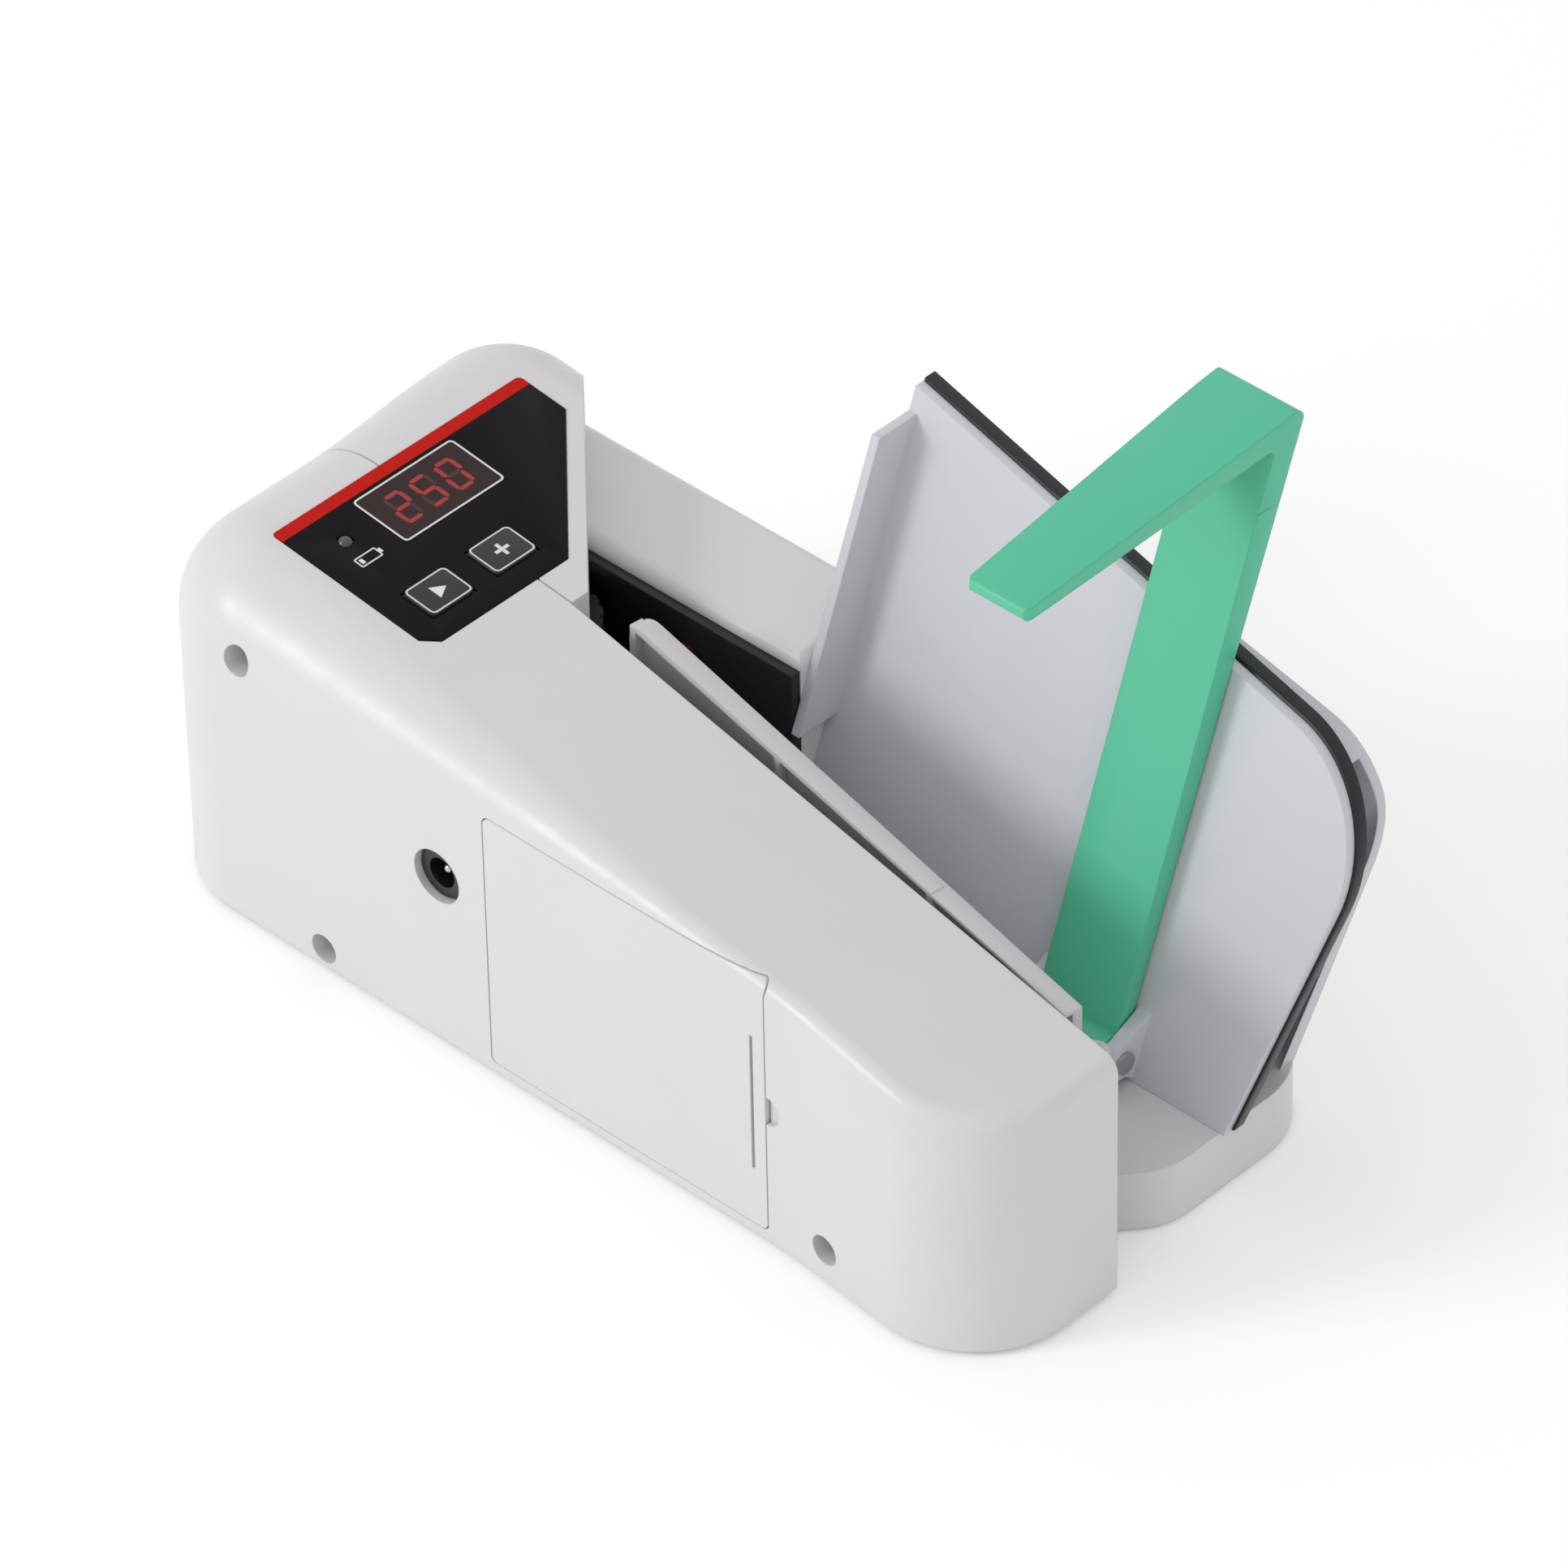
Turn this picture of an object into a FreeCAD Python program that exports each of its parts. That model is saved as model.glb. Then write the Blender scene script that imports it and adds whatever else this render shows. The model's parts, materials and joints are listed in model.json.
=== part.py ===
"""Portable banknote counter, built as the separate pieces that it comes apart into.

Everything is drawn in millimetres from the front left foot corner: x runs along the
machine, y goes back and z goes up. The finished pieces are then moved together so that
the origin is the middle of the footprint on the table.
"""
import FreeCAD, Part
import math
import os

V = FreeCAD.Vector

# Main body
BODY_LENGTH = 216.0
BLOCK_DEPTH = 99.0
LEFT_HEIGHT = 81.0
TOP_FALL = 0.12
WALL = 2.2
STAND = 0.6
CORNER_R = 22.0
NOSE_R = 22.0
FLARE_X = BODY_LENGTH - 50.0
FLARE_R = 120.0
FLARE_SLOPE = 0.095
BACK_R = 18.0
DIAGONAL_REACH = 120.0
TOP_R_LEFT = 18.0
TOP_R_NOSE = 3.5
TOP_R_BACK = 14.0
BACK_SHARE = 0.78
CORNER_SHARE = 0.86
BOTTOM_R = 1.6
FIT = 0.15

# Slot between the front body and the hopper
SEAM_Y = 45.4
SEAM_GROOVE = 0.4
SLOT_X = 70.0
SLOT_TAPER = 4.95
SLOT_WALL_T = 2.0

# Base under the slot
FLOOR_Z = 14.0
BASE_BACK_Y = 97.0
BASE_END_X = BODY_LENGTH - 5.0
BASE_NOSE_X = BODY_LENGTH - 20.0
BASE_NOSE_Y = 52.0
BASE_NOSE_R = 14.0
BASE_BACK_R = 18.0
COVER_T = 2.0
COVER_BOSS_R = 3.5
HUMP_TOP_Z = 62.0
HUMP_R = 3.0
BAY_LINING_T = 1.2
BAY_WALL_Y = 69.0

# Leaning hopper back
HOPPER_LEFT_X = 103.0
LEAN = 0.40
PLATE_FOOT_Y = 60.0
PLATE_T = 2.0
RIM_LEFT_Z = 107.0
RIM_FALL = 0.205
RIM_END_X = BODY_LENGTH + 10.0
RIM_R = 24.0
RIM_FOOT_X = BODY_LENGTH - 4.0
TRIM_T = 2.6
TRIM_H = 4.5
TRIM_PROUD = 0.6
FLANGE_D = 10.0
FLANGE_Z = 46.0
OUTER_LEAN = 0.13
HOPPER_BACK_R = 18.0
HOPPER_CAVITY_Z = 78.0

# Control panel, placed along the sloping top
PANEL_X0 = 20.9
PANEL_X1 = 61.8
PANEL_Y0 = 17.8
PANEL_Y1 = 82.3
PANEL_MARGIN = 4.7
PANEL_CHAMFER = PANEL_X1 + PANEL_Y1 - DIAGONAL_REACH + PANEL_MARGIN
PANEL_NICK = 3.0
PANEL_T = 0.8
PANEL_RECESS = 0.6
STRIPE_W = 2.8
WINDOW_X = 31.8
WINDOW_Y = 47.5
WINDOW_W = 14.4
WINDOW_L = 26.0
LENS_T = 2.0
DISPLAY_H = 6.0
KEY_X = 52.4
START_Y = 29.3
ADD_Y = 45.8
KEY_W = 8.4
KEY_L = 10.8
KEY_PROUD = 0.5
KEY_TRAVEL = 0.45
KEY_CLEAR = 0.2
KEY_LIP = 1.0
LAMP_X = 31.2
LAMP_Y = 26.4
LAMP_R = 1.5

# Main board under the panel
BOARD_T = 1.6
BOARD_X0 = 17.5
BOARD_X1 = 60.0
BOARD_Y0 = 20.5
BOARD_Y1 = 79.0
BOARD_SCREWS = ((22.0, 22.8), (43.0, 37.5), (21.0, 76.0), (42.0, 65.5))
BOARD_BOSS_R = 2.6
SCREW_HOLE_R = 0.9

# Battery door and compartment for four upright cells
DOOR_X0 = 91.5
DOOR_X1 = 161.0
DOOR_Z0 = 3.9
DOOR_TOP_GAP = 0.28
DOOR_Z1 = LEFT_HEIGHT - TOP_FALL * DOOR_X1 - DOOR_TOP_GAP
DOOR_T = 2.0
DOOR_GAP = 0.25
DOOR_CORNER_R = 1.5
HOOK_Z = (14.0, 44.0)
HOOK_H = 7.0
LATCH_W = 3.2
LATCH_Z0 = 17.0
LATCH_Z1 = 48.0
CELL_D = 14.5
CELL_COUNT = 4
CELL_PITCH = 14.8
BOX_WALL = 1.5
BOX_Y0 = 6.0
BOX_Y1 = 22.6
BOX_Z0 = STAND + WALL
BOX_HEADROOM = 0.68
BOX_Z1 = LEFT_HEIGHT - TOP_FALL * DOOR_X1 - WALL - BOX_HEADROOM
CONTACT_T = 0.4
LEAF_L = 9.0
LEAF_W = 6.0
LEAF_H = 2.6
LEAF_T = 0.4

# Power socket in the front face
JACK_X = 78.9
JACK_Z = 40.6
JACK_HOLE_R = 5.7
JACK_BODY_R = 5.2
JACK_BORE_R = 3.15
JACK_DEPTH = 9.5
JACK_PIN_R = 1.0
JACK_SET_BACK = 1.4

# Housing screws driven from the front
UPPER_SCREW_DROP = 18.0
HOUSING_SCREWS = ((28.0, LEFT_HEIGHT - UPPER_SCREW_DROP), (47.7, 5.6), (BODY_LENGTH - 40.1, 8.6))
SCREW_HEAD_R = 2.8
SCREW_HEAD_H = 2.0
SCREW_R = 1.45
SCREW_BOSS_R = 4.0
SCREW_WELL_R = 3.1
SCREW_BITE = 9.0

# Feed roller and its drive, with the roller axis set in from the diagonal wall
ROLLER_SET_IN = 12.0
ROLLER_ALONG = 4.0
ROLLER_X = (DIAGONAL_REACH - ROLLER_SET_IN - ROLLER_ALONG) / 2
ROLLER_Y = ROLLER_X + ROLLER_ALONG
ROLLER_R = 11.0
ROLLER_Z0 = 30.0
ROLLER_HEADROOM = 4.5
CHASSIS_TOP_DROP = 22.5
CHASSIS_TOP_Z = LEFT_HEIGHT - CHASSIS_TOP_DROP
ROLLER_Z1 = CHASSIS_TOP_Z - ROLLER_HEADROOM
HUB_R = 7.0
TREAD_GROOVES = 18
SHAFT_R = 2.0
BUSH_R = 3.6
CHASSIS_Z = 15.0
CHASSIS_T = 2.5
GEAR_MODULE = 0.8
GEAR_Z = 19.0
GEAR_T = 5.0
PINION_TEETH = 10
IDLER_TEETH = 20
ROLLER_TEETH = 12
MOTOR_R = 12.0
MOTOR_H = 26.5
MOTOR_PLATE_Z = 27.5
MOTOR_PLATE_T = 1.5

# Receiving flap, hinged at the nose end of the slot
FLAP_PIVOT_X = BODY_LENGTH - 10.0
FLAP_PIVOT_GAP = 3.6
FLAP_OPEN = 6.87
FLAP_END_X = 78.0
FLAP_LENGTH = FLAP_PIVOT_X - FLAP_END_X
FLAP_T = 2.2
FLAP_FLANGE = 1.8
FLAP_LIP_H = 1.6
FLAP_Z0 = 16.0
FLAP_PROUD = 0.8
FLAP_KNUCKLE_R = 3.0
FLAP_PIN_R = 1.0
LUG_DROP = 10.28
LUG_Z = (17.0, LEFT_HEIGHT - TOP_FALL * FLAP_PIVOT_X - LUG_DROP)
LUG_H = 3.0

# Press lever
LEVER_X = BODY_LENGTH - 39.0
LEVER_W = 19.0
LEVER_TIP_W = 14.0
LEVER_TIP_Y = 44.0
LEVER_TIP_Z = 132.2
LEVER_RISE = 0.094
LEVER_TIP_T = 2.6
LEVER_LEG_T = 3.6
LEVER_FOLD_T = 6.2
LEVER_FOLD_R = 2.0
LEVER_GAP = 0.5
LEVER_PIVOT_Z = 20.0
LEVER_BARREL_R = 3.8
LEVER_PIN_R = 1.5
LEVER_EAR_T = 3.0

# Feet
FOOT_R = 5.0
FOOT_H = 1.8
FEET = ((26.0, 14.0), (BODY_LENGTH - 26.0, 14.0), (26.0, 82.0), (BODY_LENGTH - 30.0, 80.0))

SLOPE = math.atan(TOP_FALL)
TAPER = math.radians(SLOT_TAPER)
SLOT_NORMAL = V(math.sin(TAPER), math.cos(TAPER), 0)


def slot_y(x):
    """Depth of the front body's slot face at x."""
    return SEAM_Y - math.tan(TAPER) * (x - SLOT_X)


def top_z(x):
    """Height of the sloping top face at x."""
    return LEFT_HEIGHT - TOP_FALL * x


def plate_y(z):
    """Front face of the leaning hopper plate at height z."""
    return PLATE_FOOT_Y + LEAN * z


def lean_thickness(t):
    """Depth along y of a leaning layer that is t thick."""
    return t * math.sqrt(1 + LEAN * LEAN)


def box(x0, x1, y0, y1, z0, z1):
    return Part.makeBox(x1 - x0, y1 - y0, z1 - z0, V(x0, y0, z0))


def rod(x, y, z0, z1, r):
    return Part.makeCylinder(r, z1 - z0, V(x, y, z0))


def rod_x(y, z, x0, x1, r):
    return Part.makeCylinder(r, x1 - x0, V(x0, y, z), V(1, 0, 0))


def rod_y(x, z, y0, y1, r):
    return Part.makeCylinder(r, y1 - y0, V(x, y0, z), V(0, 1, 0))


def fuse(first, *others):
    """Join solids into one clean solid."""
    return first.fuse(list(others)).removeSplitter()


def cut(first, *others):
    return first.cut(list(others))


def outline(corners):
    """Closed wire through (x, y, radius) corners, with each corner rounded by its radius."""
    ends = []
    for i, (x, y, r) in enumerate(corners):
        here = V(x, y, 0)
        back = V(*corners[i - 1][:2], 0) - here
        ahead = V(*corners[(i + 1) % len(corners)][:2], 0) - here
        back.normalize()
        ahead.normalize()
        if r <= 0:
            ends.append((here, here, here))
            continue
        half = back.getAngle(ahead) / 2
        middle = back + ahead
        middle.normalize()
        reach = r / math.tan(half)
        crown = here + middle * (r / math.sin(half) - r)
        ends.append((here + back * reach, crown, here + ahead * reach))
    edges = []
    for i, (start, crown, end) in enumerate(ends):
        if (start - end).Length > 1e-6:
            edges.append(Part.Arc(start, crown, end).toShape())
        following = ends[(i + 1) % len(ends)][0]
        if (following - end).Length > 1e-6:
            edges.append(Part.LineSegment(end, following).toShape())
    return Part.Wire(edges)


def prism(corners, z0, z1):
    """Upright prism over a plan outline."""
    solid = Part.Face(outline(corners)).extrude(V(0, 0, z1 - z0))
    solid.translate(V(0, 0, z0))
    return solid


def side_prism(corners, x0, x1):
    """Prism along x over an outline given as (y, z, radius) corners."""
    solid = Part.Face(outline(corners)).extrude(V(0, 0, x1 - x0))
    solid.rotate(V(0, 0, 0), V(1, 1, 1), 120)
    solid.translate(V(x0, 0, 0))
    return solid


def front_prism(wire, y0, y1):
    """Prism along y over a wire drawn as x and z."""
    solid = Part.Face(wire).extrude(V(0, 0, y0 - y1))
    solid.rotate(V(0, 0, 0), V(1, 0, 0), 90)
    solid.translate(V(0, y0, 0))
    return solid


def on_top(shape):
    """Set a shape drawn flat, with z as the height above the panel, on the sloping top."""
    shape.rotate(V(0, 0, 0), V(0, 1, 0), math.degrees(SLOPE))
    shape.translate(V(0, 0, LEFT_HEIGHT))
    return shape


def top_box(x0, x1, y0, y1, z0, z1):
    return on_top(box(x0, x1, y0, y1, z0, z1))


def top_rod(x, y, z0, z1, r):
    return on_top(rod(x, y, z0, z1, r))


def flare_y(x):
    """Depth of the front face at x, where it leads out to the nose."""
    return -FLARE_SLOPE * (x - FLARE_X)


def back_radius():
    """Plan radius of the back corner, limited by the length of the back wall."""
    return min(BACK_R, CORNER_SHARE * (DIAGONAL_REACH - BLOCK_DEPTH))


def body_half(inset, front):
    """Rounded solid of the front or rear half of the body, drawn in by inset."""
    wire = outline([(0, 0, CORNER_R), (FLARE_X, 0, FLARE_R), (BODY_LENGTH, flare_y(BODY_LENGTH), NOSE_R),
                    (BODY_LENGTH, slot_y(BODY_LENGTH), 0), (SLOT_X, SEAM_Y, 0),
                    (SLOT_X, DIAGONAL_REACH - SLOT_X, 0),
                    (DIAGONAL_REACH - BLOCK_DEPTH, BLOCK_DEPTH, 0), (0, BLOCK_DEPTH, back_radius())])
    if inset:
        wire = wire.makeOffset2D(-inset)
    z0 = STAND + inset
    tall = Part.Face(wire).extrude(V(0, 0, LEFT_HEIGHT))
    tall.translate(V(0, 0, z0))
    drop = inset / math.cos(SLOPE)
    beyond = WALL * 4
    y0, y1 = (-beyond, SEAM_Y) if front else (SEAM_Y, BLOCK_DEPTH + beyond)
    left, right = -beyond, BODY_LENGTH + beyond
    wedge = side_wedge(left, right, y0, y1, z0, drop)
    solid = tall.common(wedge).Solids[0]
    edge = top_edge(solid, inset, drop, front)
    left_r = min(TOP_R_LEFT, back_radius())
    if front:
        return solid.makeFillet(left_r - inset, TOP_R_NOSE - inset, [edge])
    back_r = min(TOP_R_BACK, BACK_SHARE * left_r)
    return solid.makeFillet(back_r - inset, left_r - inset, [edge])


def side_wedge(left, right, y0, y1, z0, drop):
    """Block under the sloping top plane."""
    corners = [V(left, y0, z0), V(right, y0, z0), V(right, y0, top_z(right) - drop),
               V(left, y0, top_z(left) - drop), V(left, y0, z0)]
    return Part.Face(Part.makePolygon(corners)).extrude(V(0, y1 - y0, 0))


def top_edge(solid, inset, drop, front):
    """Straight top edge along the front face, or along the left end of the rear half."""
    for edge in solid.Edges:
        points = [v.Point for v in edge.Vertexes]
        level = all(abs(p.z - top_z(p.x) + drop) < 1e-3 for p in points)
        outer = all((p.y if front else p.x) < inset + 1e-3 for p in points)
        if level and outer and isinstance(edge.Curve, Part.Line):
            return edge
    raise ValueError("top edge not found")


def soften_bottom(solid, radius):
    """Round the outer bottom edges of a body half, but not the ones on the seam or slot."""
    edges = []
    for edge in solid.Edges:
        points = [v.Point for v in edge.Vertexes]
        if not all(abs(p.z - STAND) < 1e-3 for p in points):
            continue
        middle = edge.valueAt((edge.FirstParameter + edge.LastParameter) / 2)
        on_seam = abs(middle.y - SEAM_Y) < 1e-3
        on_slot = middle.x > SLOT_X - 1 and middle.y > slot_y(middle.x) - 1e-3
        on_diagonal = middle.x + middle.y > DIAGONAL_REACH - 1e-3
        if not (on_seam or on_slot or on_diagonal):
            edges.append(edge)
    return solid.makeFillet(radius, edges)


def panel_corners(shrink):
    """Plan of the control panel, shrunk all round by the given amount."""
    x0, x1 = PANEL_X0 + shrink, PANEL_X1 - shrink
    y0, y1 = PANEL_Y0 + shrink, PANEL_Y1 - shrink
    cut_off = PANEL_CHAMFER - 0.6 * shrink
    return [(x0, y0, 1.0), (x1 - PANEL_NICK, y0, 0.6), (x1, y0 + PANEL_NICK, 0.6),
            (x1, y1 - cut_off, 0.8), (x1 - cut_off, y1, 0.8), (x0, y1, 1.0)]


def panel_recess():
    """Cut that lets the panel, window, keys and lamp into the top of the body."""
    tools = [on_top(prism(panel_corners(-FIT), -PANEL_RECESS, WALL)),
             top_box(WINDOW_X - WINDOW_W / 2 - FIT, WINDOW_X + WINDOW_W / 2 + FIT,
                     WINDOW_Y - WINDOW_L / 2 - FIT, WINDOW_Y + WINDOW_L / 2 + FIT, -2 * WALL, WALL),
             top_rod(LAMP_X, LAMP_Y, -2 * WALL, WALL, LAMP_R + FIT)]
    tools += [key_hole(y) for y in (START_Y, ADD_Y)]
    return tools


def key_hole(y):
    return top_box(KEY_X - KEY_W / 2 - KEY_CLEAR, KEY_X + KEY_W / 2 + KEY_CLEAR,
                   y - KEY_L / 2 - KEY_CLEAR, y + KEY_L / 2 + KEY_CLEAR, -2 * WALL, WALL)


BOARD_TOP = -(LENS_T + DISPLAY_H + FIT)


def board_boss(x, y):
    """Pillar under the top wall that the main board is screwed to."""
    return cut(top_rod(x, y, BOARD_TOP, -WALL / 2, BOARD_BOSS_R),
               top_rod(x, y, BOARD_TOP - 1, BOARD_TOP + WALL, SCREW_HOLE_R))


def screw_seat(x, z):
    """Depth at which a housing screw's head seats in its well."""
    return seam_at(x) - SCREW_BITE


def seam_at(x):
    """Depth of the joint that a housing screw crosses."""
    return SEAM_Y if x < SLOT_X else slot_y(x) - SLOT_WALL_T


def door_block(gap):
    """Upright block with rounded corners that the door takes out of the front wall."""
    x0, x1 = DOOR_X0 - gap, DOOR_X1 + gap
    z0, z1 = DOOR_Z0 - gap, DOOR_Z1 + gap
    corners = [(x0, z0), (x1, z0), (x1, z1), (x0, z1)]
    wire = outline([(x, z, DOOR_CORNER_R) for x, z in corners])
    return front_prism(wire, -WALL, NOSE_R / 2)


def slot_slab(behind):
    """Upright slab along the slot, from the slot wall's inner face to a distance behind the slot."""
    x0, x1 = SLOT_X - WALL, BODY_LENGTH
    inner = SLOT_WALL_T / math.cos(TAPER)
    return prism([(x0, slot_y(x0) - inner, 0), (x1, slot_y(x1) - inner, 0), (x1, slot_y(x1) + behind, 0),
                  (x0, slot_y(x0) + behind, 0)], 0, LEFT_HEIGHT)


def front_shell():
    """Front moulding: nose, front face and the front half of the display block."""
    outer = soften_bottom(body_half(0, True), BOTTOM_R)
    inner = body_half(WALL, True)
    slot_side = inner.copy()
    slot_side.translate(SLOT_NORMAL * (WALL * 1.5))
    shell = cut(outer, inner, slot_side)
    bosses = []
    wells = []
    for x, z in HOUSING_SCREWS:
        end = SEAM_Y
        boss = rod_y(x, z, WALL / 2, end, SCREW_BOSS_R)
        bosses.append(boss if x < SLOT_X else cut(boss, slot_slab(BLOCK_DEPTH)))
        wells.append(rod_y(x, z, -WALL, screw_seat(x, z), SCREW_WELL_R))
        wells.append(rod_y(x, z, 0, end + WALL, SCREW_R + FIT))
    collar = rod_y(JACK_X, JACK_Z, WALL / 2, JACK_DEPTH, JACK_HOLE_R + WALL)
    pillars = [board_boss(x, y) for x, y in BOARD_SCREWS if y < SEAM_Y]
    shell = fuse(shell, *[b.common(outer) for b in bosses], collar, *pillars)
    finger_notch = rod_y(DOOR_X1 + DOOR_GAP, (LATCH_Z0 + LATCH_Z1) / 2, -WALL, WALL / 2, LATCH_W)
    jack_hole = rod_y(JACK_X, JACK_Z, -WALL, JACK_DEPTH + WALL, JACK_HOLE_R)
    behind = box(DOOR_X0 - WALL, DOOR_X1 + WALL, BOX_Y0, NOSE_R, 0, LEFT_HEIGHT)
    opening = cut(door_block(DOOR_GAP), behind)
    return cut(shell, *wells, jack_hole, opening, finger_notch, *panel_recess(), *foot_pockets())


def base_corners(inset):
    """Plan of the base under the slot, from inside the block to its rounded right end."""
    left = DIAGONAL_REACH - BASE_BACK_Y
    wire = outline([(left, SEAM_Y, 0), (SLOT_X, SEAM_Y, 0), (BASE_NOSE_X, slot_y(BASE_NOSE_X), 0),
                    (BASE_END_X, BASE_NOSE_Y, BASE_NOSE_R), (BASE_END_X, BASE_BACK_Y, BASE_BACK_R),
                    (left, BASE_BACK_Y, 0)])
    return wire.makeOffset2D(-inset) if inset else wire


def plan_solid(wire, z0, z1):
    solid = Part.Face(wire).extrude(V(0, 0, z1 - z0))
    solid.translate(V(0, 0, z0))
    return solid


def hump_corners():
    """Plan of the closed space behind the feed bay."""
    return [(DIAGONAL_REACH - BASE_BACK_Y, BAY_WALL_Y + WALL, 0), (HOPPER_LEFT_X, BAY_WALL_Y + WALL, 0),
            (HOPPER_LEFT_X, BASE_BACK_Y, 0), (DIAGONAL_REACH - BASE_BACK_Y, BASE_BACK_Y, 0)]


COVER_SCREWS = ((100.0, 58.0), (BODY_LENGTH - 20.0, 62.0), (BODY_LENGTH - 32.0, 88.0), (108.0, 90.0))
COVER_HEAD_H = 1.0


def roller_window():
    """Opening in the diagonal wall that the feed roller reaches through."""
    reach = (DIAGONAL_REACH - ROLLER_X - ROLLER_Y) / math.sqrt(2)
    window = box(reach - 2 * WALL - 1, reach + 1, -ROLLER_R, ROLLER_R, ROLLER_Z0 - 2, ROLLER_Z1 + 2)
    window.rotate(V(0, 0, 0), V(0, 0, 1), 45)
    window.translate(V(ROLLER_X, ROLLER_Y, 0))
    return window


def rear_shell():
    """Rear moulding: back half of the display block, slot floor and the back of the bay."""
    outer = soften_bottom(body_half(0, False), BOTTOM_R)
    inner = body_half(WALL, False)
    block = cut(outer, inner)
    base = plan_solid(base_corners(0), STAND, FLOOR_Z)
    hollow = plan_solid(base_corners(WALL), STAND - 1, FLOOR_Z - WALL)
    hump = prism(hump_corners(), FLOOR_Z - WALL, HUMP_TOP_Z)
    rims = [e for e in hump.Edges if min(v.Z for v in e.Vertexes) > HUMP_TOP_Z - 1e-3]
    hump = hump.makeFillet(HUMP_R, rims)
    hump_inside = outline(hump_corners()).makeOffset2D(-WALL)
    hump_hollow = plan_solid(hump_inside, FLOOR_Z - 2 * WALL, HUMP_TOP_Z - WALL)
    pillars = [rod(x, y, STAND + COVER_T, FLOOR_Z - WALL / 2, COVER_BOSS_R) for x, y in COVER_SCREWS]
    pillars += [board_boss(x, y) for x, y in BOARD_SCREWS if y > SEAM_Y]
    lower = cut(fuse(base, hump), hollow, hump_hollow, outer)
    bosses = []
    holes = [rod(x, y, STAND, FLOOR_Z - WALL, SCREW_HOLE_R) for x, y in COVER_SCREWS]
    for x, z in HOUSING_SCREWS:
        start = SEAM_Y if x < SLOT_X else slot_y(x) + WALL / 2
        reach = BLOCK_DEPTH if z > FLOOR_Z else start + 2 * SCREW_BITE
        bosses.append(rod_y(x, z, start, reach, SCREW_BOSS_R))
        holes.append(rod_y(x, z, start - WALL, start + SCREW_BITE, SCREW_R))
    whole = fuse(outer, base)
    shell = fuse(block, lower, *[b.common(whole) for b in bosses], *pillars)
    skin = cut(outer, body_half(SEAM_GROOVE, False))
    groove = skin.common(box(-1, BODY_LENGTH, SEAM_Y - 1, SEAM_Y + SEAM_GROOVE, 0, LEFT_HEIGHT))
    return cut(shell, *holes, *panel_recess(), *foot_pockets(), roller_window(), groove)


def base_cover():
    """Plate that closes the base from below."""
    plate = plan_solid(base_corners(WALL + FIT), STAND, STAND + COVER_T)
    block = soften_bottom(body_half(0, False), BOTTOM_R)
    grown = block.copy()
    grown.translate(V(FIT, FIT, 0))
    holes = [rod(x, y, 0, STAND + COVER_T + 1, SCREW_HOLE_R + FIT) for x, y in COVER_SCREWS]
    sinks = [rod(x, y, 0, STAND + COVER_HEAD_H, 2 * SCREW_HOLE_R + FIT) for x, y in COVER_SCREWS]
    solids = cut(plate, block, grown, *holes, *sinks, *foot_pockets()).Solids
    return max(solids, key=lambda s: s.Volume)


def cover_screws():
    """Four sunk screws that hold the base cover."""
    made = []
    for x, y in COVER_SCREWS:
        seat = STAND + COVER_HEAD_H
        shank = rod(x, y, seat, FLOOR_Z - 2 * WALL, SCREW_HOLE_R)
        made.append(fuse(shank, rod(x, y, STAND, seat, 2 * SCREW_HOLE_R)))
    return made


def foot_pockets():
    """Shallow recesses under the machine that the feet are glued into."""
    return [rod(x, y, 0, FOOT_H, FOOT_R) for x, y in FEET]


def rubber_feet():
    """Four feet let into the underside."""
    return foot_pockets()


def rim_wire(inset):
    """Outline of the hopper plate as x and z, open to the left, drawn in by inset."""
    left = SLOT_X
    top_left = RIM_LEFT_Z + RIM_FALL * (HOPPER_LEFT_X - left)
    top_right = RIM_LEFT_Z - RIM_FALL * (RIM_END_X - HOPPER_LEFT_X)
    wire = outline([(left, 0, 0), (RIM_FOOT_X, 0, 0), (RIM_FOOT_X, FLOOR_Z, 0),
                    (RIM_END_X, top_right, RIM_R), (left, top_left, 0)])
    return wire.makeOffset2D(-inset) if inset else wire


def leaning_slab(y_front, t, z0, z1):
    """Slab across the machine, parallel to the hopper plate, y_front behind its front face."""
    y0 = plate_y(z0) + y_front
    y1 = plate_y(z1) + y_front
    depth = lean_thickness(t)
    return side_prism([(y0, z0, 0), (y0 + depth, z0, 0), (y1 + depth, z1, 0), (y1, z1, 0)],
                      HOPPER_LEFT_X, RIM_END_X + WALL)


def lever_pivot_y():
    """Depth of the lever's pivot, just in front of the hopper plate."""
    return plate_y(LEVER_PIVOT_Z) - lean_thickness(LEVER_BARREL_R + LEVER_GAP)


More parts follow.
